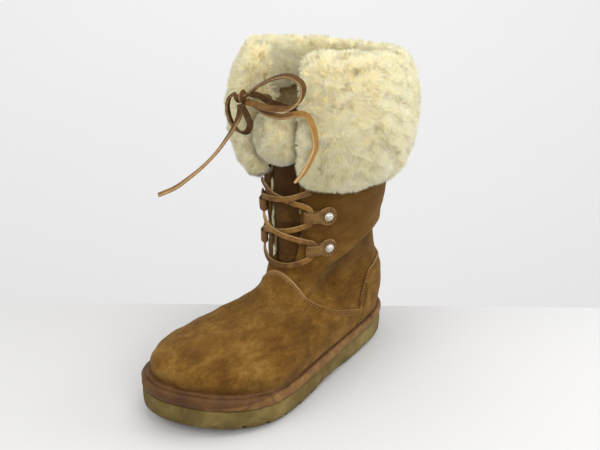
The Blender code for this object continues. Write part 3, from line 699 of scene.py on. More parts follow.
# Section of a strap as shares of half its width and half its thickness
STRAP_SECTION = [
    (1.00, 0.45), (0.90, 1.00), (0.45, 1.06), (0.00, 1.08), (-0.45, 1.06), (-0.90, 1.00),
    (-1.00, 0.45), (-1.00, -0.45), (-0.90, -1.00), (-0.45, -1.03), (0.00, -1.03), (0.45, -1.03),
    (0.90, -1.00), (1.00, -0.45),
]
# Pairs of section points between which the pale cut edge of the leather shows
STRAP_EDGES = ({13, 0}, {0, 1}, {5, 6}, {6, 7})


def soft_curve(points, spacing):
    """Even points along a soft curve through given points, with any extra columns kept."""
    points = np.asarray(points, dtype=float)
    count = len(points)
    dense = []
    for index in range(count - 1):
        before = points[max(index - 1, 0)]
        start = points[index]
        end = points[index + 1]
        after = points[min(index + 2, count - 1)]
        t = np.linspace(0.0, 1.0, 24, endpoint=False)[:, None]
        dense.append(0.5 * (
            2.0 * start + (end - before) * t
            + (2.0 * before - 5.0 * start + 4.0 * end - after) * t ** 2
            + (3.0 * start - before - 3.0 * end + after) * t ** 3
        ))
    dense = np.concatenate(dense + [points[-1:]])
    steps = np.linalg.norm(np.diff(dense[:, :3], axis=0), axis=1)
    lengths = np.concatenate(([0.0], np.cumsum(steps)))
    even = np.linspace(0.0, lengths[-1], max(int(round(lengths[-1] / spacing)), 6) + 1)
    columns = [np.interp(even, lengths, dense[:, column]) for column in range(dense.shape[1])]
    return np.stack(columns, axis=1), lengths[-1]


def strap(name, centres, sides, width, thickness, materials, tone):
    """Flat leather strap along centres; sides hold the direction of its width."""
    centres = np.asarray(centres)
    count = len(centres)
    ahead = unit(np.gradient(centres, axis=0))
    sides = unit(sides - ahead * np.sum(sides * ahead, axis=1, keepdims=True))
    faces_up = np.cross(ahead, sides)
    section = np.array(STRAP_SECTION)
    width = np.asarray(width, dtype=float).reshape(-1, 1, 1)
    around = len(section)
    points = (
        centres[:, None, :]
        + sides[:, None, :] * (section[None, :, :1] * width / 2.0)
        + faces_up[:, None, :] * (section[None, :, 1:] * thickness / 2.0)
    )
    faces = grid_faces(count, around, True).tolist()
    faces.append(list(range(around)))
    faces.append([(count - 1) * around + place for place in range(around)])
    item = mesh_piece(name, points, faces)
    face_outward(item)
    for material in materials:
        item.data.materials.append(material)
    for face in item.data.polygons:
        places = {vertex % around for vertex in face.vertices}
        if len(face.vertices) > 4 or places in STRAP_EDGES:
            face.material_index = 1
        face.use_smooth = len(face.vertices) <= 4
    item.data.set_sharp_from_angle(angle=math.radians(55.0))
    point_values(item, "tone", np.repeat(np.broadcast_to(tone, (count,)), around))
    return item


def lace_sides(centres, first_side, twists):
    """Carry a side direction along a lace without twist, then add the given twist."""
    ahead = unit(np.gradient(centres, axis=0))
    side = unit(np.asarray(first_side, dtype=float))
    sides = []
    for place, direction in enumerate(ahead):
        side = unit(side - direction * np.dot(side, direction))
        turned = side * math.cos(twists[place]) + np.cross(direction, side) * math.sin(twists[place])
        sides.append(turned)
    return np.array(sides)


BOW = 0.050
KNOT = np.array((-0.0178, -0.1120, 0.2487))

# x, y, z from the knot in bow units, then the twist of the flat lace in radians
BOW_LOOP_OUTER = [
    (0.098, -0.055, 0.055, 0.0), (0.22, -0.075, 0.12, 0.0), (0.42, -0.11, 0.26, 0.1),
    (0.80, -0.16, 0.45, 0.2), (1.10, -0.18, 0.52, 0.2), (1.31, -0.18, 0.45, 0.1),
    (1.33, -0.16, 0.31, 0.0), (1.22, -0.14, 0.13, -0.2), (0.99, -0.14, 0.00, -0.6),
    (0.62, -0.13, -0.05, -0.9), (0.30, -0.09, -0.045, -0.9), (0.120, -0.055, -0.05, -0.8),
]
BOW_LOOP_INNER = [
    (-0.153, -0.03, 0.03, 0.0), (-0.24, -0.04, -0.02, 0.0), (-0.28, -0.06, -0.14, 0.1),
    (-0.25, -0.08, -0.30, 0.2), (-0.13, -0.11, -0.46, 0.2), (0.05, -0.14, -0.53, 0.1),
    (0.21, -0.16, -0.50, 0.0), (0.28, -0.16, -0.37, 0.0), (0.20, -0.14, -0.24, 0.0),
    (0.08, -0.115, -0.125, 0.0),
]
END_LONG = [
    (-0.04, -0.02, -0.126, 0.0), (0.00, -0.09, -0.26, 0.0), (0.05, -0.24, -0.38, 0.2),
    (0.02, -0.39, -0.56, 0.4), (-0.03, -0.60, -0.77, 0.5), (-0.14, -0.81, -0.98, 0.5),
    (-0.27, -1.03, -1.16, 0.4), (-0.39, -1.21, -1.29, 0.3), (-0.56, -1.40, -1.39, 0.3),
]
END_SHORT = [
    (0.133, 0.05, -0.07, 0.0), (0.29, 0.05, -0.14, 0.0), (0.50, 0.02, -0.19, 0.0),
    (0.80, -0.01, -0.18, 0.2), (1.04, 0.02, -0.11, 0.4), (1.20, 0.08, -0.11, 0.5),
    (1.29, 0.13, -0.26, 0.5), (1.32, 0.17, -0.47, 0.4), (1.31, 0.18, -0.66, 0.3),
    (1.23, 0.12, -0.90, 0.2), (1.16, 0.08, -1.05, 0.1), (1.04, 0.05, -1.21, 0.0),
]
RISE_OUTER = [
    (0.103, 0.07, 0.055, 0.0), (0.19, 0.17, 0.02, 0.0), (0.28, 0.27, -0.07, 0.0),
    (0.46, 0.37, -0.13, 0.0), (0.60, 0.46, -0.18, 0.0), (0.745, 0.50, -0.19, 0.0),
]
RISE_INNER = [
    (-0.06, 0.138, 0.00, 0.0), (0.02, 0.33, -0.03, 0.0), (0.065, 0.52, -0.08, 0.0),
    (0.040, 0.66, -0.24, 0.0), (0.020, 0.70, -0.36, 0.0),
]
KNOT_RADIUS = 0.0036
KNOT_TURNS = 1.5
KNOT_PITCH = 0.0053
knot_rows = []
for step in range(25):
    along = step / 24.0
    around = FULL * KNOT_TURNS * along + 2.6
    knot_rows.append((
        KNOT_PITCH * KNOT_TURNS * (along - 0.5) / BOW,
        KNOT_RADIUS * math.cos(around) / BOW,
        KNOT_RADIUS * math.sin(around) / BOW,
        0.0,
    ))

# name, table, first direction of the width, far end, how pale the leather is at both ends; the darker tones
# on the bow loops and where the laces rise into the boot are partly painted shade
LACE_RUNS = [
    ("lace_knot", knot_rows, (1.0, 0.0, 0.0), "knot", (0.40, 0.40)),
    ("lace_bow_outer", BOW_LOOP_OUTER, (0.15, 1.0, 0.25), "knot", (0.14, 0.56)),
    ("lace_bow_inner", BOW_LOOP_INNER, (0.0, 1.0, 0.3), "knot", (0.14, 0.20)),
    ("lace_end_long", END_LONG, (1.0, 0.1, 0.3), "bare", (0.36, 0.62)),
    ("lace_end_short", END_SHORT, (0.1, 1.0, 0.5), "bare", (0.30, 1.00)),
    ("lace_rise_outer", RISE_OUTER, (0.0, 0.3, 1.0), "object", (0.25, 0.15)),
    ("lace_rise_inner", RISE_INNER, (1.0, 0.0, 0.3), "object", (0.25, 0.10)),
]
for name, table, first_side, far_end, tones in LACE_RUNS:
    rows = np.array(table)
    rows[:, :3] = KNOT + rows[:, :3] * BOW
    run, run_length = soft_curve(rows, LACE_SPACING)
    centres = run[:, :3]
    tone = tones[0] + (tones[1] - tones[0]) * ease(np.linspace(0.0, 1.6, len(centres)))
    lace = strap(
        name + "_leather", centres, lace_sides(centres, first_side, run[:, 3]),
        LACE_WIDTH, LACE_THICKNESS, LACE_MATERIALS, tone)
    dress(lace, None, "lace_leather", name)

# The flat lace through the four loops: side, turn short of the front, height, height off the upper
LACE_PATH = [
    (1, 0.500, 0.1700, 0.0045), (1, 0.340, 0.1665, 0.0058), (1, 0.140, 0.1625, 0.0068),
    (-1, 0.060, 0.1605, 0.0070), (-1, 0.260, 0.1582, 0.0060), (-1, 0.430, 0.1560, 0.0046),
    (-1, 0.510, 0.1525, 0.0037), (-1, 0.515, 0.1463, 0.0035), (-1, 0.515, 0.1405, 0.0037),
    (-1, 0.400, 0.1370, 0.0052), (-1, 0.200, 0.1330, 0.0070), (1, 0.000, 0.1300, 0.0076),
    (1, 0.215, 0.1275, 0.0070), (1, 0.430, 0.1240, 0.0050), (1, 0.593, 0.1207, 0.0038),
    (1, 0.593, 0.1145, 0.0035), (1, 0.593, 0.1087, 0.0037), (1, 0.460, 0.1045, 0.0046),
    (1, 0.240, 0.1010, 0.0052), (1, 0.000, 0.1000, 0.0054), (-1, 0.240, 0.1010, 0.0052),
    (-1, 0.460, 0.1045, 0.0046), (-1, 0.593, 0.1087, 0.0037), (-1, 0.593, 0.1145, 0.0035),
    (-1, 0.593, 0.1207, 0.0036), (-1, 0.430, 0.1240, 0.0032), (-1, 0.215, 0.1275, 0.0034),
    (1, 0.000, 0.1300, 0.0036), (1, 0.200, 0.1330, 0.0036), (1, 0.400, 0.1370, 0.0034),
    (1, 0.515, 0.1405, 0.0035), (1, 0.515, 0.1463, 0.0035), (1, 0.510, 0.1525, 0.0036),
    (1, 0.430, 0.1560, 0.0036), (1, 0.260, 0.1582, 0.0036), (1, 0.060, 0.1605, 0.0036),
    (-1, 0.140, 0.1625, 0.0036), (-1, 0.340, 0.1665, 0.0036), (-1, 0.500, 0.1700, 0.0036),
]


def boot_side(turn, side):
    """The same turn on the outer or the inner side."""
    return np.where(side > 0, turn, FULL - turn)


lace_table = np.array(LACE_PATH)
lace_levels = throat_level(lace_table[:, 2])
lace_turns = boot_side(math.pi - lace_table[:, 1], lace_table[:, 0])
lace_rows = np.concatenate(
    (skin(lace_levels, lace_turns, lace_table[:, 3]), upper_normal(lace_levels, lace_turns)), axis=1)
lace_run, _ = soft_curve(lace_rows, LACE_SPACING)
lace_side_rows = np.cross(lace_run[:, 3:6], np.gradient(lace_run[:, :3], axis=0))
CROSSING_WIDTH = 0.0046
CROSSING_THICKNESS = 0.0018
crossing_tone = 0.66 + 0.18 * waves(lace_run[:, :3], 0.05, 21)
crossings = strap(
    "lace_crossings_leather", lace_run[:, :3], lace_side_rows,
    CROSSING_WIDTH, CROSSING_THICKNESS, LACE_MATERIALS, crossing_tone)
dress(crossings, None, "lace_leather", "lace_crossings")


# Suede upper

chestnut = suede_finish(
    "chestnut_suede", (0.244, 0.131, 0.030), (0.156, 0.074, 0.012), (0.094, 0.041, 0.007), 0.0)
tongue_suede = suede_finish(
    "tongue_suede", (0.170, 0.080, 0.020), (0.100, 0.043, 0.010), (0.048, 0.020, 0.005), 7.0)
# The lining inside the boot is a darker copy of the fleece: its colours are painted shade of the boot's
# inside
shaded_lining = wool_finish("fleece_lining_shaded", (0.34, 0.25, 0.12), (0.62, 0.51, 0.29), (0.80, 0.72, 0.48))

UPPER_ROWS = 126
UPPER_COLUMNS = 160
upper_levels = np.linspace(0.0, LAST_RING, UPPER_ROWS)[:, None]
upper_turns = np.linspace(0.0, FULL, UPPER_COLUMNS, endpoint=False)[None, :]
outside, outside_fold_shade = suede_skin(upper_levels, upper_turns, 0.0)
inside, _ = suede_skin(upper_levels, upper_turns, -WALL)
outer_faces, inner_faces, rim_faces = plate_faces(UPPER_ROWS, UPPER_COLUMNS, True)
upper = mesh_piece(
    "upper_suede",
    np.concatenate((outside.reshape(-1, 3), inside.reshape(-1, 3))),
    np.concatenate((outer_faces, rim_faces, inner_faces)),
)
# The folds' painted shade is stored on the outside of the upper
point_values(upper, "painted_fold_shade", np.concatenate((outside_fold_shade.ravel(), np.zeros(inside.size // 3))))
# A low tone darkens the lining further: painted shade inside the shaft
point_values(upper, "tone", 0.25)
upper.data.materials.append(chestnut)
upper.data.materials.append(shaded_lining)
material_numbers = np.zeros(len(upper.data.polygons), dtype=np.int32)
material_numbers[len(outer_faces) + len(rim_faces):] = 1
upper.data.polygons.foreach_set("material_index", material_numbers)

# The throat slit: height above the floor and half width
THROAT_ROWS = [
    (THROAT_BOTTOM, 0.007),
    (THROAT_BOTTOM + 0.0015, 0.0105),
    (THROAT_BOTTOM + 0.004, 0.0125),
    (0.125, 0.0165),
    (0.176, 0.0165),
    (0.196, 0.0180),
    (0.225, 0.0185),
    (0.240, 0.0225),
    (SHAFT_HEIGHT + 0.02, 0.0225),
]
slit_front = [(half, -0.20, height) for height, half in THROAT_ROWS]
slit_front += [(-half, -0.20, height) for height, half in reversed(THROAT_ROWS)]
slit_back = [(x, -0.035, z) for x, _, z in slit_front]
corners = len(slit_front)
slit_faces = [tuple(range(corners)), tuple(range(2 * corners - 1, corners - 1, -1))]
for place in range(corners):
    after = (place + 1) % corners
    slit_faces.append((place, place + corners, after + corners, after))
slit = mesh_piece("slit", slit_front + slit_back, slit_faces, smooth=False)
face_outward(slit)
cut_away(upper, slit)
dress(upper, None, "suede", "upper")

# Side views of the panels: place along the boot and height above the floor
VAMP_PROFILE = np.array([
    (-0.0345, 0.020), (-0.0345, 0.031), (-0.0275, 0.0385), (-0.0222, 0.0432), (-0.0434, 0.0508),
    (-0.0620, 0.0566), (-0.0745, 0.0630), (-0.0808, 0.0706), (-0.0845, 0.0812), (-0.0868, 0.0905),
    (-0.0882, 0.0950), (-0.2400, 0.0950), (-0.2400, 0.020),
])
COUNTER_PROFILE = np.array([
    (-0.0328, 0.020), (-0.0328, 0.031), (-0.0258, 0.0390), (-0.0200, 0.0480), (-0.0168, 0.0560),
    (-0.0140, 0.0660), (-0.0125, 0.0735), (0.0050, 0.0790), (0.0600, 0.0830), (0.0600, 0.020),
])


def inside_outline(along, height, outline):
    """Whether side-view points lie inside an outline."""
    crossed = np.zeros(along.shape, dtype=bool)
    before = np.roll(outline, 1, axis=0)
    for (y0, z0), (y1, z1) in zip(before, outline):
        if z0 == z1:
            continue
        between = (z0 > height) != (z1 > height)
        cut = y0 + (height - z0) * (y1 - y0) / (z1 - z0)
        crossed ^= between & (along < cut)
    return crossed


def panel_levels(turns, outline):
    """Lowest and highest ring of a panel at each turn."""
    levels = np.linspace(0.0, 9.5, 1600)
    places = upper_point(levels[:, None], turns[None, :])
    found = inside_outline(places[..., 1], np.maximum(places[..., 2], 0.0315), outline)
    low = levels[np.argmax(found, axis=0)]
    high = levels[len(levels) - 1 - np.argmax(found[::-1], axis=0)]
    return low, high, found.any(axis=0)


def panel_ends(outline, start, end):
    """First and last turn of a panel between two turns."""
    turns = np.linspace(start, end, 4000)
    _, _, found = panel_levels(turns, outline)
    return turns[np.argmax(found)], turns[len(turns) - 1 - np.argmax(found[::-1])]


def soften(values, times):
    """Smooth a row of values, ends kept."""
    values = values.copy()
    for _ in range(times):
        values[1:-1] = 0.25 * values[:-2] + 0.5 * values[1:-1] + 0.25 * values[2:]
    return values


# Height of a panel's underside off the upper, and of its thinnest face
PANEL_UNDER = 0.0001
PANEL_GAP = 0.0004
VAMP_THICKNESS = 0.0016
COUNTER_THICKNESS = 0.0014


def panel(name, node, turns, outline, thickness, rows, edge_tone):
    """Thin panel laid over the upper, with a rounded cut edge."""
    low, high, _ = panel_levels(turns, outline)
    low = soften(low, 3)
    high = soften(high, 3)
    share = np.linspace(0.0, 1.0, rows)
    share = 1.0 - (1.0 - share) ** 1.15
    levels = low[None, :] + (high - low)[None, :] * share[:, None]
    spread = np.broadcast_to(turns[None, :], levels.shape)
    full = np.ones(levels.shape)
    full[-1, :] = 0.60
    full[:, 0] = np.minimum(full[:, 0], 0.60)
    full[:, -1] = np.minimum(full[:, -1], 0.60)
    # Cut edge: pale on its top, partly as painted highlight; painted shade at its foot and on the underside
    edge_pale_and_shade = np.zeros(levels.shape)
    edge_pale_and_shade[-3, :] = 0.10
    edge_pale_and_shade[-2, :] = edge_tone
    edge_pale_and_shade[-1, :] = 0.72
    edge_pale_and_shade[0, :] = np.where(low > 0.3, 0.72, 0.0)
    edge_pale_and_shade[1, :] = np.where(low > 0.3, 0.30, 0.0)
    outer, painted_fold_shade = suede_skin(levels, spread, PANEL_GAP + thickness * full)
    inner, _ = suede_skin(levels, spread, PANEL_UNDER)
    outer_quads, inner_quads, rims = plate_faces(rows, len(turns), False)
    item = mesh_piece(
        name,
        np.concatenate((outer.reshape(-1, 3), inner.reshape(-1, 3))),
        np.concatenate((outer_quads, inner_quads, rims)),
    )
    # The folds' painted shade, on both faces of the panel
    point_values(item, "painted_fold_shade", np.concatenate((painted_fold_shade.ravel(), painted_fold_shade.ravel())))
    point_values(item, "edge_pale_and_shade", np.concatenate((edge_pale_and_shade.ravel(), np.ones(edge_pale_and_shade.size))))
    face_outward(item)
    item.data.set_sharp_from_angle(angle=math.radians(70.0))
    dress(item, chestnut, "suede", node)
    return turns, low, high


vamp_start, _ = panel_ends(VAMP_PROFILE, 0.4, math.pi)
_, counter_end = panel_ends(COUNTER_PROFILE, 0.0, 2.0)
vamp_turns = np.linspace(vamp_start + 0.004, FULL - vamp_start - 0.004, 190)
counter_turns = np.linspace(-counter_end, counter_end, 96)
vamp_edge = panel("vamp_suede", "vamp", vamp_turns, VAMP_PROFILE, VAMP_THICKNESS, 62, 0.36)
counter_edge = panel(
    "counter_suede", "heel_counter", counter_turns, COUNTER_PROFILE, COUNTER_THICKNESS, 40, 0.62)


# Tongue

TONGUE_OUT = -(WALL + 0.0011)
TONGUE_THICKNESS = 0.003
TONGUE_ROWS = np.array([
    (7.6, 0.40), (8.2, 0.50), (9.0, 0.56), (10.0, 0.56), (10.8, 0.54), (11.4, 0.44), (11.9, 0.31),
    (12.3, 0.26),
])
TONGUE_UP = 70
TONGUE_ACROSS = 40
tongue_levels = np.linspace(TONGUE_ROWS[0, 0], TONGUE_ROWS[-1, 0], TONGUE_UP)
tongue_spread = smooth_between(TONGUE_ROWS[:, 0], TONGUE_ROWS[:, 1], tongue_levels)
tongue_across = np.linspace(-1.0, 1.0, TONGUE_ACROSS)
tongue_turns = math.pi + tongue_spread[:, None] * tongue_across[None, :]
tongue_grid = np.broadcast_to(tongue_levels[:, None], tongue_turns.shape)
tongue_plain = upper_point(tongue_grid, tongue_turns)
tongue_lift = 0.0009 * waves(tongue_plain, 0.026, 31)
tongue_lift = tongue_lift + 0.0006 * waves(tongue_plain * (0.4, 1.0, 1.6), 0.014, 32)
tongue_bulge = 0.0018 * np.cos(tongue_across * math.pi / 2.0)[None, :]
tongue_bulge = tongue_bulge * ease((tongue_levels[:, None] - 8.4) / 1.5)
tongue_out = TONGUE_OUT + tongue_lift * 0.8 + tongue_bulge - 0.0022 * tongue_across[None, :] ** 2
tongue_front = skin(tongue_grid, tongue_turns, tongue_out)
tongue_back = skin(tongue_grid, tongue_turns, np.minimum(tongue_out, TONGUE_OUT) - TONGUE_THICKNESS)
front_quads, back_quads, tongue_rims = plate_faces(TONGUE_UP, TONGUE_ACROSS, False)
tongue = mesh_piece(
    "tongue_suede",
    np.concatenate((tongue_front.reshape(-1, 3), tongue_back.reshape(-1, 3))),
    np.concatenate((front_quads, back_quads, tongue_rims)),
)
# Painted shade in the dents of the tongue
tongue_dent_shade = np.clip(-tongue_lift / 0.0014, 0.0, 1.0) * 0.8
point_values(tongue, "painted_fold_shade", np.concatenate((tongue_dent_shade.ravel(), np.zeros(tongue_dent_shade.size))))
point_values(tongue, "tone", 0.35)
face_outward(tongue)
dress(tongue, tongue_suede, "suede", "tongue")
tongue.data.materials.append(shaded_lining)
for face in tongue.data.polygons:
    if min(face.vertices) >= tongue_front.size // 3:
        face.material_index = 1


# Fleece

fleece = wool_finish("cream_fleece", (0.82, 0.65, 0.31), (0.93, 0.80, 0.46), (0.98, 0.92, 0.66))
FLEECE_DEPTH = 0.0050     # from the skin of the fold to the tips of the wool
LOCK_SOFTNESS = 0.0012    # the larger, the more a lock is shaded like the skin under it
LOCK_SUNK = 0.0007        # how far the foot of a lock lies under the skin
LOCK_WIDTH = 0.00062
EDGE_LOCK_WIDTH = 0.0006
EDGE_LOCK_LENGTH = 0.0042
EDGE_LOCKS = 4500
EDGE_CLUMPS = 120


def nearest_centre(points, centres):
    """Number of the nearest clump centre of each point."""
    tree = kdtree.KDTree(len(centres))
    for place, centre in enumerate(centres):
        tree.insert(centre, place)
    tree.balance()
    return np.array([tree.find(point)[1] for point in points])


def surface_spots(points, triangles, normals, count, seed):
    """Random places on triangles, with their normals."""
    random = np.random.default_rng(seed)
    a, b, c = (points[triangles[:, corner]] for corner in range(3))
    areas = np.linalg.norm(np.cross(b - a, c - a), axis=1)
    chosen = random.choice(len(triangles), size=count, p=areas / areas.sum())
    u = random.random((count, 1))
    v = random.random((count, 1))
    over = (u + v) > 1.0
    u = np.where(over, 1.0 - u, u)
    v = np.where(over, 1.0 - v, v)
    w = 1.0 - u - v
    spots = a[chosen] * w + b[chosen] * u + c[chosen] * v
    na, nb, nc = (normals[triangles[chosen, corner]] for corner in range(3))
    return spots, unit(na * w + nb * u + nc * v)


def wool_locks(name, roots, normals, centres, length, thickness, seed):
    """Pointed locks of wool joined into one mesh, leaning together in clumps."""
    random = np.random.default_rng(seed)
    count = len(roots)
    nearest = nearest_centre(roots, centres)
    inward = centres[nearest] - roots
    flow = np.stack([waves(roots, 0.011, flow_seed) for flow_seed in (201, 202, 203)], axis=1)
    lean = inward * 0.38 + flow * length * 0.26 + random.normal(size=(count, 3)) * length * 0.13
    lean = lean - normals * np.sum(lean * normals, axis=1, keepdims=True)
    heights = random.uniform(0.90, 1.08, len(centres))[nearest]
    tall = (length * heights * random.uniform(0.74, 1.14, count))[:, None]
    helper = np.where(np.abs(normals[:, 2:3]) < 0.9, (0.0, 0.0, 1.0), (1.0, 0.0, 0.0))
    first = unit(np.cross(normals, helper))
    second = np.cross(normals, first)
    spin = random.uniform(0.0, FULL, count)
    thick = (thickness * random.uniform(0.75, 1.25, count))[:, None]
    corners = []
    for corner in range(3):
        angle = (spin + FULL * corner / 3.0)[:, None]
        arm = (first * np.cos(angle) + second * np.sin(angle)) * thick
        corners.append(roots - normals * LOCK_SUNK + arm)
    points = np.stack(corners + [roots + normals * tall + lean], axis=1)
    pattern = np.array([(0, 2, 1), (0, 1, 3), (1, 2, 3), (2, 0, 3)])
    faces = (np.arange(count)[:, None, None] * 4 + pattern[None]).reshape(-1, 3)
    item = mesh_piece(name, points, faces)
    # Soft wool takes the light as the fold under it does
    feet = points[:, :3]
    soft_sides = unit(normals[:, None] * LOCK_SOFTNESS + feet - feet.mean(axis=1, keepdims=True))
    soft_normals = np.concatenate((soft_sides, normals[:, None]), axis=1)
    item.data.normals_split_custom_set_from_vertices(soft_normals.reshape(-1, 3).tolist())
    clump_shade = random.normal(0.0, 0.05, len(centres))[nearest]
    shade = clump_shade + random.normal(0.0, 0.07, count)
    # Lock feet get a lower tone than the tips: the wool's yellower roots, and painted shade of the pile's
    # depth
    tone = np.stack([0.50 + shade] * 3 + [0.86 + shade], axis=1)
    point_values(item, "tone", np.clip(tone, 0.0, 1.0))
    return item


# Section of the folded fleece: share of its depth and share of the way from hem to top
CUFF_SECTION = np.array([
    (0.01, 0.020), (0.27, -0.020), (0.58, 0.010), (0.80, 0.110), (0.98, 0.280), (1.05, 0.450),
    (0.96, 0.620), (0.78, 0.780), (0.50, 0.910), (0.16, 0.985), (-0.16, 0.980), (-0.38, 0.920),
    (-0.48, 0.800), (-0.50, 0.690), (-0.40, 0.600),
])
CUFF_SLOT_OUT = 0.0004
CUFF_SLOT_IN = -(WALL + 0.0004)
CUFF_BACK_DROP = 0.0125   # how much lower the top of the fold is at the heel side
CUFF_FRONT_RISE = 0.004   # and how much higher at the front
CUFF_STATIONS = 190
CUFF_STEPS = 84


def cuff_grid(stations):
    """Rings of the fold from one flap's front edge round the back to the other."""
    across = np.linspace(-1.0, 1.0, stations)
    spaced = np.copysign(1.0 - (1.0 - np.abs(across)) ** 1.25, across)
    turn = (CUFF_EDGE_TURN * spaced)[:, None]
    edge = np.minimum((CUFF_EDGE_TURN - np.abs(turn)) / 0.42, 1.0)
    bend = np.sqrt(np.maximum(1.0 - (1.0 - edge) ** 2, 0.0))
    corner = CUFF_CORNER * (1.0 - bend)
    hem = CUFF_HEM + 0.45 * corner
    front = 0.5 * (1.0 - np.cos(turn))
    top = CUFF_TOP - 0.6 * corner - CUFF_BACK_DROP * (1.0 - front) + CUFF_FRONT_RISE * front
    top = np.maximum(top, SHAFT_HEIGHT + 0.007)
    thick = 0.45 + 0.55 * bend
    depth = CUFF_BACK_DEPTH + (CUFF_DEPTH - CUFF_BACK_DEPTH) * front
    full_size = np.array((CUFF_DEPTH, CUFF_TOP - CUFF_HEM))
    flat = np.zeros((len(CUFF_SECTION), 1))
    section, _ = soft_curve(np.concatenate((CUFF_SECTION * full_size, flat), axis=1), 0.0001)
    section = section[np.linspace(0, len(section) - 1, CUFF_STEPS).astype(int), :2] / full_size
    out_share = section[None, :, 0]
    up_share = section[None, :, 1]
    height = hem + (top - hem) * up_share
    out = np.maximum(out_share * depth * thick, 0.0006)
    out = np.where(out_share < 0.0, CUFF_SLOT_IN - 0.001 + out_share * depth * 0.7 * thick, out)
    across_top = (np.abs(out_share) < 0.16) & (up_share > 0.9)
    over_slot = CUFF_SLOT_IN / 2.0 + out_share / 0.16 * (0.16 * depth * thick + 0.002)
    out = np.where(across_top, over_slot, out)
    turns = np.broadcast_to(turn, height.shape)
    base = upper_point(shaft_level(np.minimum(height, SHAFT_HEIGHT)), turns)
    normal = unit(upper_normal(12.0, turns) * (1.0, 1.0, 0.0))
    points = base + normal * out[..., None]
    points[..., 2] = height
    slots = []
    slot_top = SHAFT_HEIGHT + 0.0006
    for slot_out, slot_height in (
        (CUFF_SLOT_IN, CUFF_LINING_END),
        (CUFF_SLOT_IN, (CUFF_LINING_END + slot_top) / 2.0),
        (CUFF_SLOT_IN, slot_top),
        (CUFF_SLOT_OUT, slot_top),
        (CUFF_SLOT_OUT, 0.2420),
        (CUFF_SLOT_OUT, 0.2220),
        (CUFF_SLOT_OUT, 0.2035),
    ):
        level = shaft_level(min(slot_height, SHAFT_HEIGHT))
        place = skin(level, turn, slot_out)
        place[..., 2] = slot_height
        slots.append(place)
    return points, np.concatenate(slots, axis=1)


def grid_normals(points):
    """Outward directions of a grid of points."""
    up = np.gradient(points, axis=1)
    along = np.gradient(points, axis=0)
    return unit(np.cross(along, up))


cuff_outer, cuff_slot = cuff_grid(CUFF_STATIONS)
cuff_normals = grid_normals(cuff_outer)
centre_line = np.array((0.0, -0.03, 0.0))
test = cuff_outer[CUFF_STATIONS // 2, 30] - centre_line
if np.dot(cuff_normals[CUFF_STATIONS // 2, 30], test * (1.0, 1.0, 0.0)) < 0.0:
    cuff_normals = -cuff_normals
# The skin of the fold lies under the wool and thins out at the hem and inside
steps = np.linspace(0.0, 1.0, CUFF_STEPS)
cover = ease(steps / 0.06) * ease((1.0 - steps) / 0.08)
cuff_skin = cuff_outer - cuff_normals * (FLEECE_DEPTH * 0.75 * cover)[None, :, None]
flat_skin = cuff_skin.reshape(-1, 3)
flat_normals = cuff_normals.reshape(-1, 3)
skin_faces = grid_faces(CUFF_STATIONS, CUFF_STEPS, False)
skin_triangles = np.concatenate((skin_faces[:, (0, 1, 2)], skin_faces[:, (0, 2, 3)]))
CUFF_CLUMPS = 5600
cuff_centres, _ = surface_spots(flat_skin, skin_triangles, flat_normals, CUFF_CLUMPS, 41)
lumps = 0.0011 * waves(flat_skin, 0.026, 42) + 0.0005 * waves(flat_skin, 0.011, 43)
cover_flat = np.tile(cover, CUFF_STATIONS)
base_points = flat_skin + flat_normals * (lumps * cover_flat)[:, None]

ring_count = CUFF_STEPS + cuff_slot.shape[1]
rings = np.concatenate((base_points.reshape(CUFF_STATIONS, CUFF_STEPS, 3), cuff_slot), axis=1)
cuff_faces = grid_faces(CUFF_STATIONS, ring_count, True).tolist()
cuff_faces.append(list(range(ring_count)))
cuff_faces.append([(CUFF_STATIONS - 1) * ring_count + place for place in range(ring_count)])
cuff = mesh_piece("cuff_fold", rings, cuff_faces)
face_outward(cuff)
point_values(cuff, "tone", 0.55)
dress(cuff, fleece, "fleece", "cuff")

WOOL_PIECES = 4
LOCKS_A_PIECE = 37000
for number in range(WOOL_PIECES):
    spots, spot_normals = surface_spots(
        base_points, skin_triangles, flat_normals, LOCKS_A_PIECE, 51 + number)
    locks = wool_locks(
        f"cuff_wool_{number + 1}", spots, spot_normals, cuff_centres, FLEECE_DEPTH, LOCK_WIDTH,
        61 + number)
    dress(locks, fleece, "fleece")

# Flap edges at the throat carry wool as well, leaning forward and up
FLAP_EDGE_LEAN = np.array((0.0, -0.7, 0.5))
for end, number in ((0, WOOL_PIECES + 1), (CUFF_STATIONS - 1, WOOL_PIECES + 2)):
    edge_ring = rings[end, :CUFF_STEPS]
    fan = np.concatenate((edge_ring, edge_ring.mean(axis=0)[None]))
    fan_count = len(edge_ring)
    fan_triangles = np.array([(place, (place + 1) % fan_count, fan_count) for place in range(fan_count)])
    toward = unit(rings[end].mean(axis=0) - rings[abs(end - 3)].mean(axis=0))
    fan_normals = np.tile(unit(toward + FLAP_EDGE_LEAN), (len(fan), 1))
    spots, spot_normals = surface_spots(fan, fan_triangles, fan_normals, EDGE_LOCKS, 71 + number)
    edge_centres, _ = surface_spots(fan, fan_triangles, fan_normals, EDGE_CLUMPS, 75 + number)
    locks = wool_locks(
        f"cuff_wool_{number}", spots, spot_normals, edge_centres, EDGE_LOCK_LENGTH, EDGE_LOCK_WIDTH,
        78 + number)
    dress(locks, fleece, "fleece")


# Fleece fold at the top of the tongue

PUFF_BOTTOM = 0.1925
PUFF_TOP = 0.238
PUFF_HALF_TURN = 0.320
PUFF_DEPTH = 0.022
PUFF_UP = 44
PUFF_ACROSS = 34
PUFF_LOCKS = 12000
PUFF_CLUMPS = 280


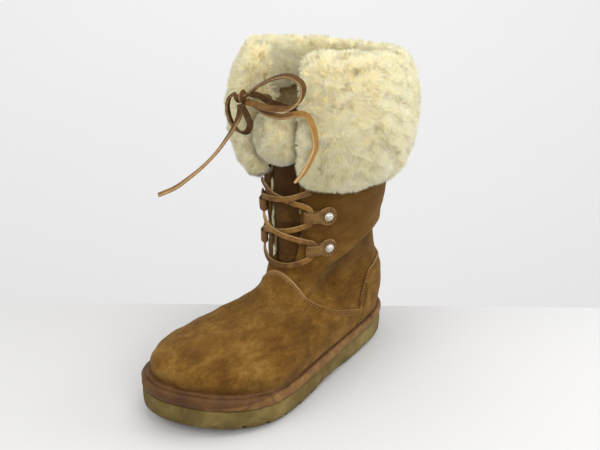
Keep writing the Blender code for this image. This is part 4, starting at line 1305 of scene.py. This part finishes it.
def puff_grid():
    """Front and back of the fold."""
    up = np.linspace(-1.0, 1.0, PUFF_UP)[:, None]
    across = np.linspace(-1.0, 1.0, PUFF_ACROSS)[None, :]
    narrow = np.maximum(1.0 - np.abs(up) ** 3.2, 0.05) ** 0.5
    height = PUFF_BOTTOM + (PUFF_TOP - PUFF_BOTTOM) * (up + 1.0) / 2.0
    level = np.broadcast_to(shaft_level(height), (PUFF_UP, PUFF_ACROSS))
    turn = math.pi + PUFF_HALF_TURN * narrow * across
    side = across * 0.97
    rise = up * 0.97
    inside_part = 1.0 - np.abs(side) ** 2.6 - np.abs(rise) ** 2.6 + np.abs(side * rise) ** 2.6
    full = PUFF_DEPTH * np.maximum(inside_part, 0.0) ** 0.55
    front = skin(level, turn, -WALL + 0.0022 + np.maximum(full - 0.0040, 0.0))
    back = skin(level, turn, -WALL - 0.0005)
    return front, back


puff_front, puff_back = puff_grid()
puff_outer, puff_inner, puff_rims = plate_faces(PUFF_UP, PUFF_ACROSS, False)
puff = mesh_piece(
    "tongue_fleece_fold",
    np.concatenate((puff_front.reshape(-1, 3), puff_back.reshape(-1, 3))),
    np.concatenate((puff_outer, puff_inner, puff_rims)),
)
point_values(puff, "tone", 0.60)
face_outward(puff)
dress(puff, fleece, "fleece", "tongue_fleece")
puff_normals = unit(np.cross(np.gradient(puff_front, axis=0), np.gradient(puff_front, axis=1)))
if puff_normals[PUFF_UP // 2, PUFF_ACROSS // 2, 1] > 0.0:
    puff_normals = -puff_normals
puff_quads = grid_faces(PUFF_UP, PUFF_ACROSS, False)
puff_triangles = np.concatenate((puff_quads[:, (0, 1, 2)], puff_quads[:, (0, 2, 3)]))
puff_flat = puff_front.reshape(-1, 3)
puff_flat_normals = puff_normals.reshape(-1, 3)
puff_centres, _ = surface_spots(puff_flat, puff_triangles, puff_flat_normals, PUFF_CLUMPS, 81)
spots, spot_normals = surface_spots(puff_flat, puff_triangles, puff_flat_normals, PUFF_LOCKS, 82)
locks = wool_locks(
    "tongue_wool", spots, spot_normals, puff_centres, EDGE_LOCK_LENGTH, EDGE_LOCK_WIDTH, 83)
dress(locks, fleece, "fleece")


# Fleece lining that shows along the throat

LINING_LOCKS = 1500       # on each side of the throat
LINING_LOCK_LENGTH = 0.0034
LINING_LOCK_WIDTH = 0.00045
LINING_TOP = 0.186
THROAT_RADIUS = 0.047     # of the front of the shaft, where the throat runs
lining_roots = []
lining_normals = []
random = np.random.default_rng(91)
for side in (1.0, -1.0):
    heights = random.uniform(THROAT_BOTTOM + 0.004, LINING_TOP, LINING_LOCKS)
    slit_rows = np.array(THROAT_ROWS)
    halves = np.interp(heights, slit_rows[:, 0], slit_rows[:, 1])
    levels = throat_level(heights)
    edge_turns = boot_side(math.pi - np.arcsin(np.clip(halves / THROAT_RADIUS, -0.9, 0.9)), side)
    ripple = np.sin(heights * 210.0 + side * 1.3) + 0.6 * np.sin(heights * 97.0 + side)
    patchy = ease(0.10 - 0.45 * side + ripple)
    depth = -WALL * (random.uniform(0.55, 1.25, len(heights)) + 0.7 * (1.0 - patchy))
    place = skin(levels, edge_turns, depth)
    place[:, 0] = side * (halves + 0.0004 + 0.0022 * (1.0 - patchy))
    lining_roots.append(place)
    lining_normals.append(np.tile(unit(np.array((-side, -0.55, 0.0))), (len(heights), 1)))
lining_roots = np.concatenate(lining_roots)
lining_normals = np.concatenate(lining_normals)
locks = wool_locks(
    "throat_wool", lining_roots, lining_normals, lining_roots[::28], LINING_LOCK_LENGTH,
    LINING_LOCK_WIDTH, 92)
dress(locks, fleece, "fleece")


# Lace loops and rivets

LOOP_THICKNESS = 0.0014
LOOP_EYE = 0.0036
LOOP_UNDER = 0.0010
# Turn ahead of the rivet, share of the loop's height, and width of the strap
LOOP_PATH = np.array([
    (-0.115, 0.0, 0.0095), (0.02, 0.0, 0.0095), (0.14, 0.0, 0.0095), (0.250, 0.04, 0.0095),
    (0.308, 0.28, 0.0095), (0.322, 0.55, 0.0096), (0.308, 0.82, 0.0096), (0.250, 1.04, 0.0096),
    (0.155, 0.98, 0.0098), (0.095, 0.58, 0.0108), (0.055, 0.38, 0.0138), (0.010, 0.34, 0.0160),
    (-0.045, 0.34, 0.0166), (-0.100, 0.34, 0.0150), (-0.140, 0.34, 0.0105), (-0.158, 0.34, 0.0050),
])
LOOP_ROWS = [(0.1463, 2.395), (0.1145, 2.317)]
TAB_STITCH_RADIUS = 0.0060
RIVET_RADIUS = 0.0037

steel = Finish("rivet_metal", 0.34, Metallic=1.0)
steel_field = steel.spread(700.0, detail=3.0)
steel.colour(steel.ramp(steel_field, (0.0, (0.50, 0.49, 0.46)), (1.0, (0.78, 0.77, 0.74))))
steel.roughness(steel.spread(350.0, 0.25, 0.50))
steel.bump((steel.noise(1200.0, 3.0), 0.12, 0.0002))

tab_leather = Finish("tab_leather", 0.66, Specular_IOR_Level=0.32)
tab_field = tab_leather.spread(150.0, detail=5.0, roughness=0.65)
tab_leather.colour(tab_leather.ramp(
    tab_field, (0.0, (0.085, 0.038, 0.009)), (0.5, (0.155, 0.076, 0.017)), (1.0, (0.240, 0.130, 0.034))))
tab_leather.bump((tab_leather.noise(1000.0, 4.0), 0.4, 0.0003), (tab_leather.cells(1300.0), 0.3, 0.0002))

thread = Finish("seam_thread", 0.75, Specular_IOR_Level=0.3)
thread_field = thread.spread(900.0, detail=3.0)
thread.colour(thread.ramp(thread_field, (0.0, (0.150, 0.076, 0.024)), (1.0, (0.330, 0.195, 0.075))))
thread.bump((thread.noise(2600.0, 2.0), 0.5, 0.0002))

# Needle holes are dark dimples: their colour is painted shade inside the holes
painted_hole_shade = Finish("painted_hole_shade", 0.95, Specular_IOR_Level=0.05)
hole_field = painted_hole_shade.spread(900.0, detail=2.0)
painted_hole_shade.colour(painted_hole_shade.ramp(hole_field, (0.0, (0.012, 0.006, 0.003)), (1.0, (0.035, 0.017, 0.008))))

SEAM_PITCH = 0.0027
SEAM_STITCH = 0.0017
RING_PITCH = 0.0028       # of the stitches round a rivet
RING_STITCH = 0.0015
RING_PLACES = 40
stitches = []
holes = []


def add_stitches(points, normals, radius, pitch=SEAM_PITCH, length=SEAM_STITCH):
    """Lay stitches and their needle holes along a seam line on the surface."""
    rows, _ = soft_curve(np.concatenate((points, normals), axis=1), 0.0004)
    steps = np.linalg.norm(np.diff(rows[:, :3], axis=0), axis=1)
    lengths = np.concatenate(([0.0], np.cumsum(steps)))

    def place_at(along):
        return np.array([np.interp(along, lengths, rows[:, column]) for column in range(6)])

    for place in range(int(lengths[-1] / pitch)):
        start = (place + 0.5) * pitch - length / 2.0
        ends = [place_at(start), place_at(start + length / 2.0), place_at(start + length)]
        stitches.append((np.array(ends), radius))
        holes.append((place_at((place + 1.0) * pitch), radius * 0.9))


def seam_line(levels, turns, inset, out):
    """Points and normals along a panel's edge, moved in from it by a distance."""
    step = 0.05
    gap = upper_point(levels - step, turns) - upper_point(levels, turns)
    fall = np.linalg.norm(gap, axis=1) / step
    inner_levels = levels - inset / fall
    points, _ = suede_skin(inner_levels, turns, out)
    return points, upper_normal(inner_levels, turns)


turns, low, high = vamp_edge
for inset in (0.0019, 0.0046):
    points, normals = seam_line(high[4:-4], turns[4:-4], inset, PANEL_GAP + VAMP_THICKNESS + 0.0001)
    add_stitches(points, normals, 0.00040)
turns, low, high = counter_edge
above_welt = high > 0.4
points, normals = seam_line(
    high[above_welt], turns[above_welt], 0.0017, PANEL_GAP + COUNTER_THICKNESS + 0.0001)
add_stitches(points, normals, 0.00036)

# The seam between vamp and counter runs down to the welt on the outer side
SIDE_SEAM = np.array([
    (-0.0146, 0.0655), (-0.0163, 0.0600), (-0.0184, 0.0540), (-0.0214, 0.0475), (-0.0262, 0.0402),
    (-0.0308, 0.0352), (-0.0350, 0.0318),
])


def surface_place(along, height):
    """Ring number and turn of the point of the outer side at a place in the side view."""
    level = 2.0
    angle = 1.0
    for _ in range(40):
        point = upper_point(level, float(boot_side(angle, 1)))
        level = float(np.clip(level + (height - point[2]) / 0.012, 0.0, 9.0))
        angle = float(np.clip(angle + (point[1] - along) / 0.16, 0.05, 3.0))
    return level, float(boot_side(angle, 1))


places = np.array([surface_place(along, height) for along, height in SIDE_SEAM])
normals = upper_normal(places[:, 0], places[:, 1])
points, _ = suede_skin(places[:, 0], places[:, 1], PANEL_GAP + 0.0009)
rows, _ = soft_curve(np.concatenate((points, normals), axis=1), 0.0010)
# A dark strip along the seam is painted shadow in the seam's groove
seam_shadow_strip = strap(
    "side_seam_outer_shadow", rows[:, :3], np.cross(rows[:, 3:6], np.gradient(rows[:, :3], axis=0)),
    0.0016, 0.0010, (painted_hole_shade.material, painted_hole_shade.material), 0.2)
dress(seam_shadow_strip, None, "suede")
rows[:, :3] += rows[:, 3:6] * 0.0008
beside = unit(np.cross(rows[:, 3:6], np.gradient(rows[:, :3], axis=0)))
add_stitches(rows[:, :3] + beside * 0.0026, rows[:, 3:6], 0.00036)

for number, (height, rivet_turn) in enumerate(LOOP_ROWS):
    level = float(throat_level(height))
    for side, word in ((1, "outer"), (-1, "inner")):
        out = LOOP_UNDER + LOOP_PATH[:, 1] * (LOOP_EYE + LOOP_THICKNESS)
        loop_turns = boot_side(rivet_turn + LOOP_PATH[:, 0], side)
        centres = skin(level, loop_turns, out)
        ups = upper_point(level + 0.2, loop_turns) - upper_point(level - 0.2, loop_turns)
        rows, _ = soft_curve(np.concatenate((centres, unit(ups), LOOP_PATH[:, 2:3]), axis=1), 0.0008)
        loop = strap(
            f"lace_loop_{word}_{number + 1}_leather", rows[:, :3], rows[:, 3:6],
            rows[:, 6], LOOP_THICKNESS, (tab_leather.material, edge_leather.material), 0.25)
        dress(loop, None, "lace_leather", f"lace_loop_{word}_{number + 1}")

        centre_turn = float(boot_side(rivet_turn - 0.045, side))
        normal = upper_normal(level, centre_turn)
        top = LOOP_UNDER + 0.34 * (LOOP_EYE + LOOP_THICKNESS) + LOOP_THICKNESS / 2.0
        seat = skin(level, centre_turn, top)
        turned = Vector(normal).to_track_quat("Z", "Y").to_matrix().to_4x4()
        bpy.ops.mesh.primitive_cylinder_add(vertices=32, radius=RIVET_RADIUS, depth=0.0007)
        flange = bpy.context.active_object
        flange.data.transform(Matrix.Translation((0.0, 0.0, 0.00035)))
        bpy.ops.mesh.primitive_uv_sphere_add(segments=32, ring_count=16, radius=RIVET_RADIUS * 0.80)
        dome = bpy.context.active_object
        dome.data.transform(Matrix.Diagonal((1.0, 1.0, 0.50, 1.0)))
        dome.data.transform(Matrix.Translation((0.0, 0.0, 0.0007)))
        rivet = join(f"rivet_{word}_{number + 1}_dome", [dome, flange])
        rivet.data.transform(Matrix.Translation(seat) @ turned)
        rivet.data.shade_smooth()
        rivet.data.set_sharp_from_angle(angle=math.radians(50.0))
        dress(rivet, steel.material, "rivet_metal", f"rivet_{word}_{number + 1}")

        across_axis = np.array(turned.to_3x3() @ Vector((1.0, 0.0, 0.0)))
        up_axis = np.array(turned.to_3x3() @ Vector((0.0, 1.0, 0.0)))
        around = np.linspace(0.0, FULL, RING_PLACES)[:, None]
        ring = np.cos(around) * across_axis + np.sin(around) * up_axis
        ring_points = seat + normal * 0.00020 + TAB_STITCH_RADIUS * ring
        ring_normals = np.tile(normal, (RING_PLACES, 1))
        add_stitches(ring_points, ring_normals, 0.00042, RING_PITCH, RING_STITCH)


# Share of the stitch, share of its radius, height off the seam line
STITCH_RINGS = [(0, 0.35, -0.0003), (0.25, 1.0, 0.0001), (0.75, 1.0, 0.0001), (1.0, 0.35, -0.0003)]
# Share of the hole's radius, height off the seam line
HOLE_RINGS = [(1.0, -0.0004), (1.0, 0.00004), (0.5, 0.00010)]
RING_CORNERS = 6


def stitch_shape(ends, radius):
    """A bowed thread: the two axes of its section and its rings."""
    run = ends[2, :3] - ends[0, :3]
    normal = unit(ends[1, 3:6])
    rings = [
        (ends[0, :3] + run * share + normal * rise, radius * thick)
        for share, thick, rise in STITCH_RINGS]
    return np.cross(unit(run), normal), normal, rings


def hole_shape(row, radius):
    """A dark dimple that lies in the surface, painted shade of a needle hole: its two axes and its rings.
    """
    normal = unit(row[3:6])
    helper = np.array((0.0, 0.0, 1.0)) if abs(normal[2]) < 0.9 else np.array((1.0, 0.0, 0.0))
    side = unit(np.cross(normal, helper))
    rings = [(row[:3] + normal * rise, radius * 1.15 * thick) for thick, rise in HOLE_RINGS]
    return side, np.cross(normal, side), rings


def stacked_rings(name, shapes, smooth):
    """Many small closed shapes, each a stack of rings, as one mesh."""
    points = []
    faces = []
    for side, other, rings in shapes:
        bottom = len(points)
        for centre, radius in rings:
            for angle in np.arange(RING_CORNERS) * FULL / RING_CORNERS:
                points.append(centre + (side * math.cos(angle) + other * math.sin(angle)) * radius)
        top = len(points) - RING_CORNERS
        for low in range(bottom, top, RING_CORNERS):
            high = low + RING_CORNERS
            for corner in range(RING_CORNERS):
                after = (corner + 1) % RING_CORNERS
                faces.append((low + corner, low + after, high + after, high + corner))
        faces.append(tuple(bottom + corner for corner in reversed(range(RING_CORNERS))))
        faces.append(tuple(top + corner for corner in range(RING_CORNERS)))
    item = mesh_piece(name, points, faces, smooth)
    face_outward(item)
    return item


seam_stitches = stacked_rings("seam_stitches", [stitch_shape(*stitch) for stitch in stitches], True)
dress(seam_stitches, thread.material, "suede")
needle_holes = stacked_rings("needle_holes", [hole_shape(*hole) for hole in holes], False)
dress(needle_holes, painted_hole_shade.material, "suede")


# Sole

SOLE_COLUMNS = 200


def outline_line(inset):
    """The sole outline in plan, moved inward by a distance."""
    def plan(turn):
        angle, side = fold_turn(turn)
        share = (1.0 - np.cos(angle)) / 2.0
        return np.stack((side * half_width(angle, side) * BALL, HEEL_CENTRE - share * LENGTH), axis=-1)

    turns = np.linspace(0.0, FULL, SOLE_COLUMNS, endpoint=False)
    ahead = plan(turns + 0.02) - plan(turns - 0.02)
    outward = unit(np.stack((-ahead[:, 1], ahead[:, 0]), axis=-1))
    return plan(turns) - outward * inset


def ladder_faces(first, count, upward):
    """Close a symmetric ring with faces straight across it."""
    faces = []
    for place in range(count // 2):
        ends = [place, place + 1, count - place - 1, (count - place) % count]
        around = [first + end for end in dict.fromkeys(ends)]
        faces.append(list(reversed(around)) if upward else around)
    return faces


def sole_piece(name, layers, unevenness, seed):
    """Closed slab from layers of inset, height and how much the arch lifts it."""
    rings = []
    for inset, height, arch in layers:
        flat = outline_line(inset)
        share = (HEEL_CENTRE - flat[:, 1]) / LENGTH
        ring = np.column_stack((flat, height + toe_rise(share) + arch * arch_rise(share)))
        if 0.001 < height < WELT_TOP - 0.0008:
            outward = unit(outline_line(0.0) - outline_line(0.001))
            wobble = unevenness * waves(ring, 0.016, seed)
            ring[:, :2] += outward * wobble[:, None]
        rings.append(ring)
    faces = grid_faces(len(layers), SOLE_COLUMNS, True).tolist()
    faces += ladder_faces(0, SOLE_COLUMNS, False)
    faces += ladder_faces((len(layers) - 1) * SOLE_COLUMNS, SOLE_COLUMNS, True)
    item = mesh_piece(name, np.concatenate(rings), faces, smooth=False)
    face_outward(item)
    return item


outsole = sole_piece("outsole_gum", [
    (0.0044, 0.0000, 1.0), (0.0030, 0.0003, 1.0), (0.0018, 0.0012, 1.0), (0.0008, 0.0026, 0.9),
    (0.0003, 0.0042, 0.8), (0.0001, 0.0065, 0.6), (0.0000, 0.0090, 0.4), (0.0000, 0.0120, 0.2),
    (0.0001, 0.0148, 0.0), (0.0003, 0.0164, 0.0), (0.0008, 0.0172, 0.0), (0.0016, OUTSOLE_TOP, 0.0),
], 0.00022, 101)
GROOVE_DEPTH = 0.0046
GROOVE_HALF_WIDTH = 0.0019
GROOVE_SHARES = [0.055, 0.225, 0.335, 0.575, 0.645, 0.715, 0.785, 0.855, 0.925]
grooves = []
for share in GROOVE_SHARES:
    low = float(toe_rise(share)) - 0.004
    high = float(toe_rise(share)) + GROOVE_DEPTH
    bpy.ops.mesh.primitive_cube_add(size=1.0)
    groove = bpy.context.active_object
    groove.data.transform(Matrix.Diagonal((2.0 * BALL, 2.0 * GROOVE_HALF_WIDTH, high - low, 1.0)))
    groove.data.transform(Matrix.Translation((0.0, HEEL_CENTRE - share * LENGTH, (low + high) / 2.0)))
    grooves.append(groove)
cut_away(outsole, join("tread_grooves", grooves))
outsole.data.shade_smooth()
outsole.data.set_sharp_from_angle(angle=math.radians(38.0))

gum = Finish("gum_rubber", 0.72, Specular_IOR_Level=0.20)
gum_broad = gum.span(gum.noise(34.0, 5.0, 0.6, 0.4), 0.32, 0.68)
gum_colour = gum.ramp(
    gum_broad, (0.0, (0.066, 0.044, 0.011)), (0.5, (0.128, 0.089, 0.024)), (1.0, (0.215, 0.158, 0.052)))
scratches = gum.noise(95.0, 6.0, 0.75, 2.2, gum.stretch((1.0, 1.0, 3.0)))
gum_colour = gum.mix(gum.span(scratches, 0.60, 0.72, 0.0, 0.55), gum_colour, (0.050, 0.036, 0.020))
near_floor = gum.span(gum.height(), 0.0, 0.0075, 0.85, 0.0)
low_dirt = gum.sum("MULTIPLY", near_floor, gum.span(gum.noise(75.0, 4.0), 0.35, 0.6))
gum_colour = gum.mix(low_dirt, gum_colour, (0.046, 0.034, 0.020))
pale = gum.span(gum.noise(160.0, 5.0, 0.8), 0.68, 0.78, 0.0, 0.5)
gum_colour = gum.mix(pale, gum_colour, (0.30, 0.24, 0.11))
gum.colour(gum_colour)
gum.roughness(gum.span(scratches, 0.3, 0.7, 0.60, 0.90))
gum.bump((scratches, 0.35, 0.0006), (gum.noise(500.0, 4.0), 0.35, 0.0004), (gum.cells(320.0), 0.10, 0.0003))
dress(outsole, gum.material, "gum_rubber", "outsole")

welt = sole_piece("welt_band", [
    (0.0018, WELT_BOTTOM - 0.0003, 0.0), (0.0008, 0.0183, 0.0), (0.0001, 0.0190, 0.0),
    (-0.0005, 0.0203, 0.0), (-0.0009, 0.0222, 0.0), (-0.0010, 0.0240, 0.0), (-0.0007, 0.0256, 0.0),
    (0.0000, 0.0270, 0.0), (0.0009, 0.0280, 0.0), (0.0019, 0.0284, 0.0), (0.0026, 0.0281, 0.0),
    (0.0032, 0.0283, 0.0), (0.0034, 0.0294, 0.0), (0.0040, 0.0303, 0.0), (0.0050, WELT_TOP, 0.0),
], 0.00030, 111)
welt.data.shade_smooth()
welt.data.set_sharp_from_angle(angle=math.radians(50.0))
hide = Finish("welt_band_leather", 0.66, Specular_IOR_Level=0.18)
hide_broad = hide.span(hide.noise(48.0, 6.0, 0.66, 0.8), 0.32, 0.68)
hide_colour = hide.ramp(
    hide_broad, (0.0, (0.080, 0.036, 0.010)), (0.5, (0.175, 0.086, 0.025)), (1.0, (0.270, 0.148, 0.050)))
wear = hide.span(hide.noise(120.0, 6.0, 0.8, 1.5, hide.stretch((1.0, 1.0, 2.2))), 0.56, 0.74, 0.0, 0.6)
hide_colour = hide.mix(wear, hide_colour, (0.260, 0.155, 0.075))
# Painted shade in the groove where the welt meets the upper
welt_groove_shade = hide.span(hide.height(), 0.0274, 0.0284, 0.0, 0.60)
hide_colour = hide.mix(welt_groove_shade, hide_colour, (0.050, 0.018, 0.007))
toward_heel = hide.span(hide.position("Y"), -0.110, -0.010)
heel_soil = hide.sum("MULTIPLY", toward_heel, hide.span(hide.height(), 0.0225, 0.0262, 0.75, 0.0))
hide_colour = hide.mix(heel_soil, hide_colour, (0.150, 0.106, 0.036))
hide.colour(hide_colour)
hide.roughness(hide.span(hide_broad, 0.0, 1.0, 0.48, 0.78))
hide.bump((hide.noise(210.0, 5.0, 0.7), 0.40, 0.0006), (hide.cells(620.0), 0.25, 0.0003))
dress(welt, hide.material, "welt_rubber", "welt")

# Insole with its worn fleece, in the lining's darkened colours that paint the shade inside the boot
INSOLE_OUT = -(WALL + 0.0006)
INSOLE_COLUMNS = 120
# Height above the bottom of the upper, and inset
INSOLE_LAYERS = [(0.0, 0.0006), (0.001, 0.0), (0.0037, 0.0002), (0.004, 0.0012)]
insole_turns = np.linspace(0.0, FULL, INSOLE_COLUMNS, endpoint=False)
insole_rings = []
for height, inset in INSOLE_LAYERS:
    ring = skin(0.0, insole_turns, INSOLE_OUT - inset)
    ring[:, 2] = UPPER_BOTTOM + height + toe_rise((HEEL_CENTRE - ring[:, 1]) / LENGTH)
    insole_rings.append(ring)
insole_faces = grid_faces(len(INSOLE_LAYERS), INSOLE_COLUMNS, True).tolist()
insole_faces += ladder_faces(0, INSOLE_COLUMNS, False)
insole_faces += ladder_faces((len(INSOLE_LAYERS) - 1) * INSOLE_COLUMNS, INSOLE_COLUMNS, True)
insole = mesh_piece("insole_fleece", np.concatenate(insole_rings), insole_faces, smooth=False)
face_outward(insole)
point_values(insole, "tone", 0.35)
dress(insole, shaded_lining, "insole_fleece", "insole")


bpy.ops.object.select_all(action="DESELECT")
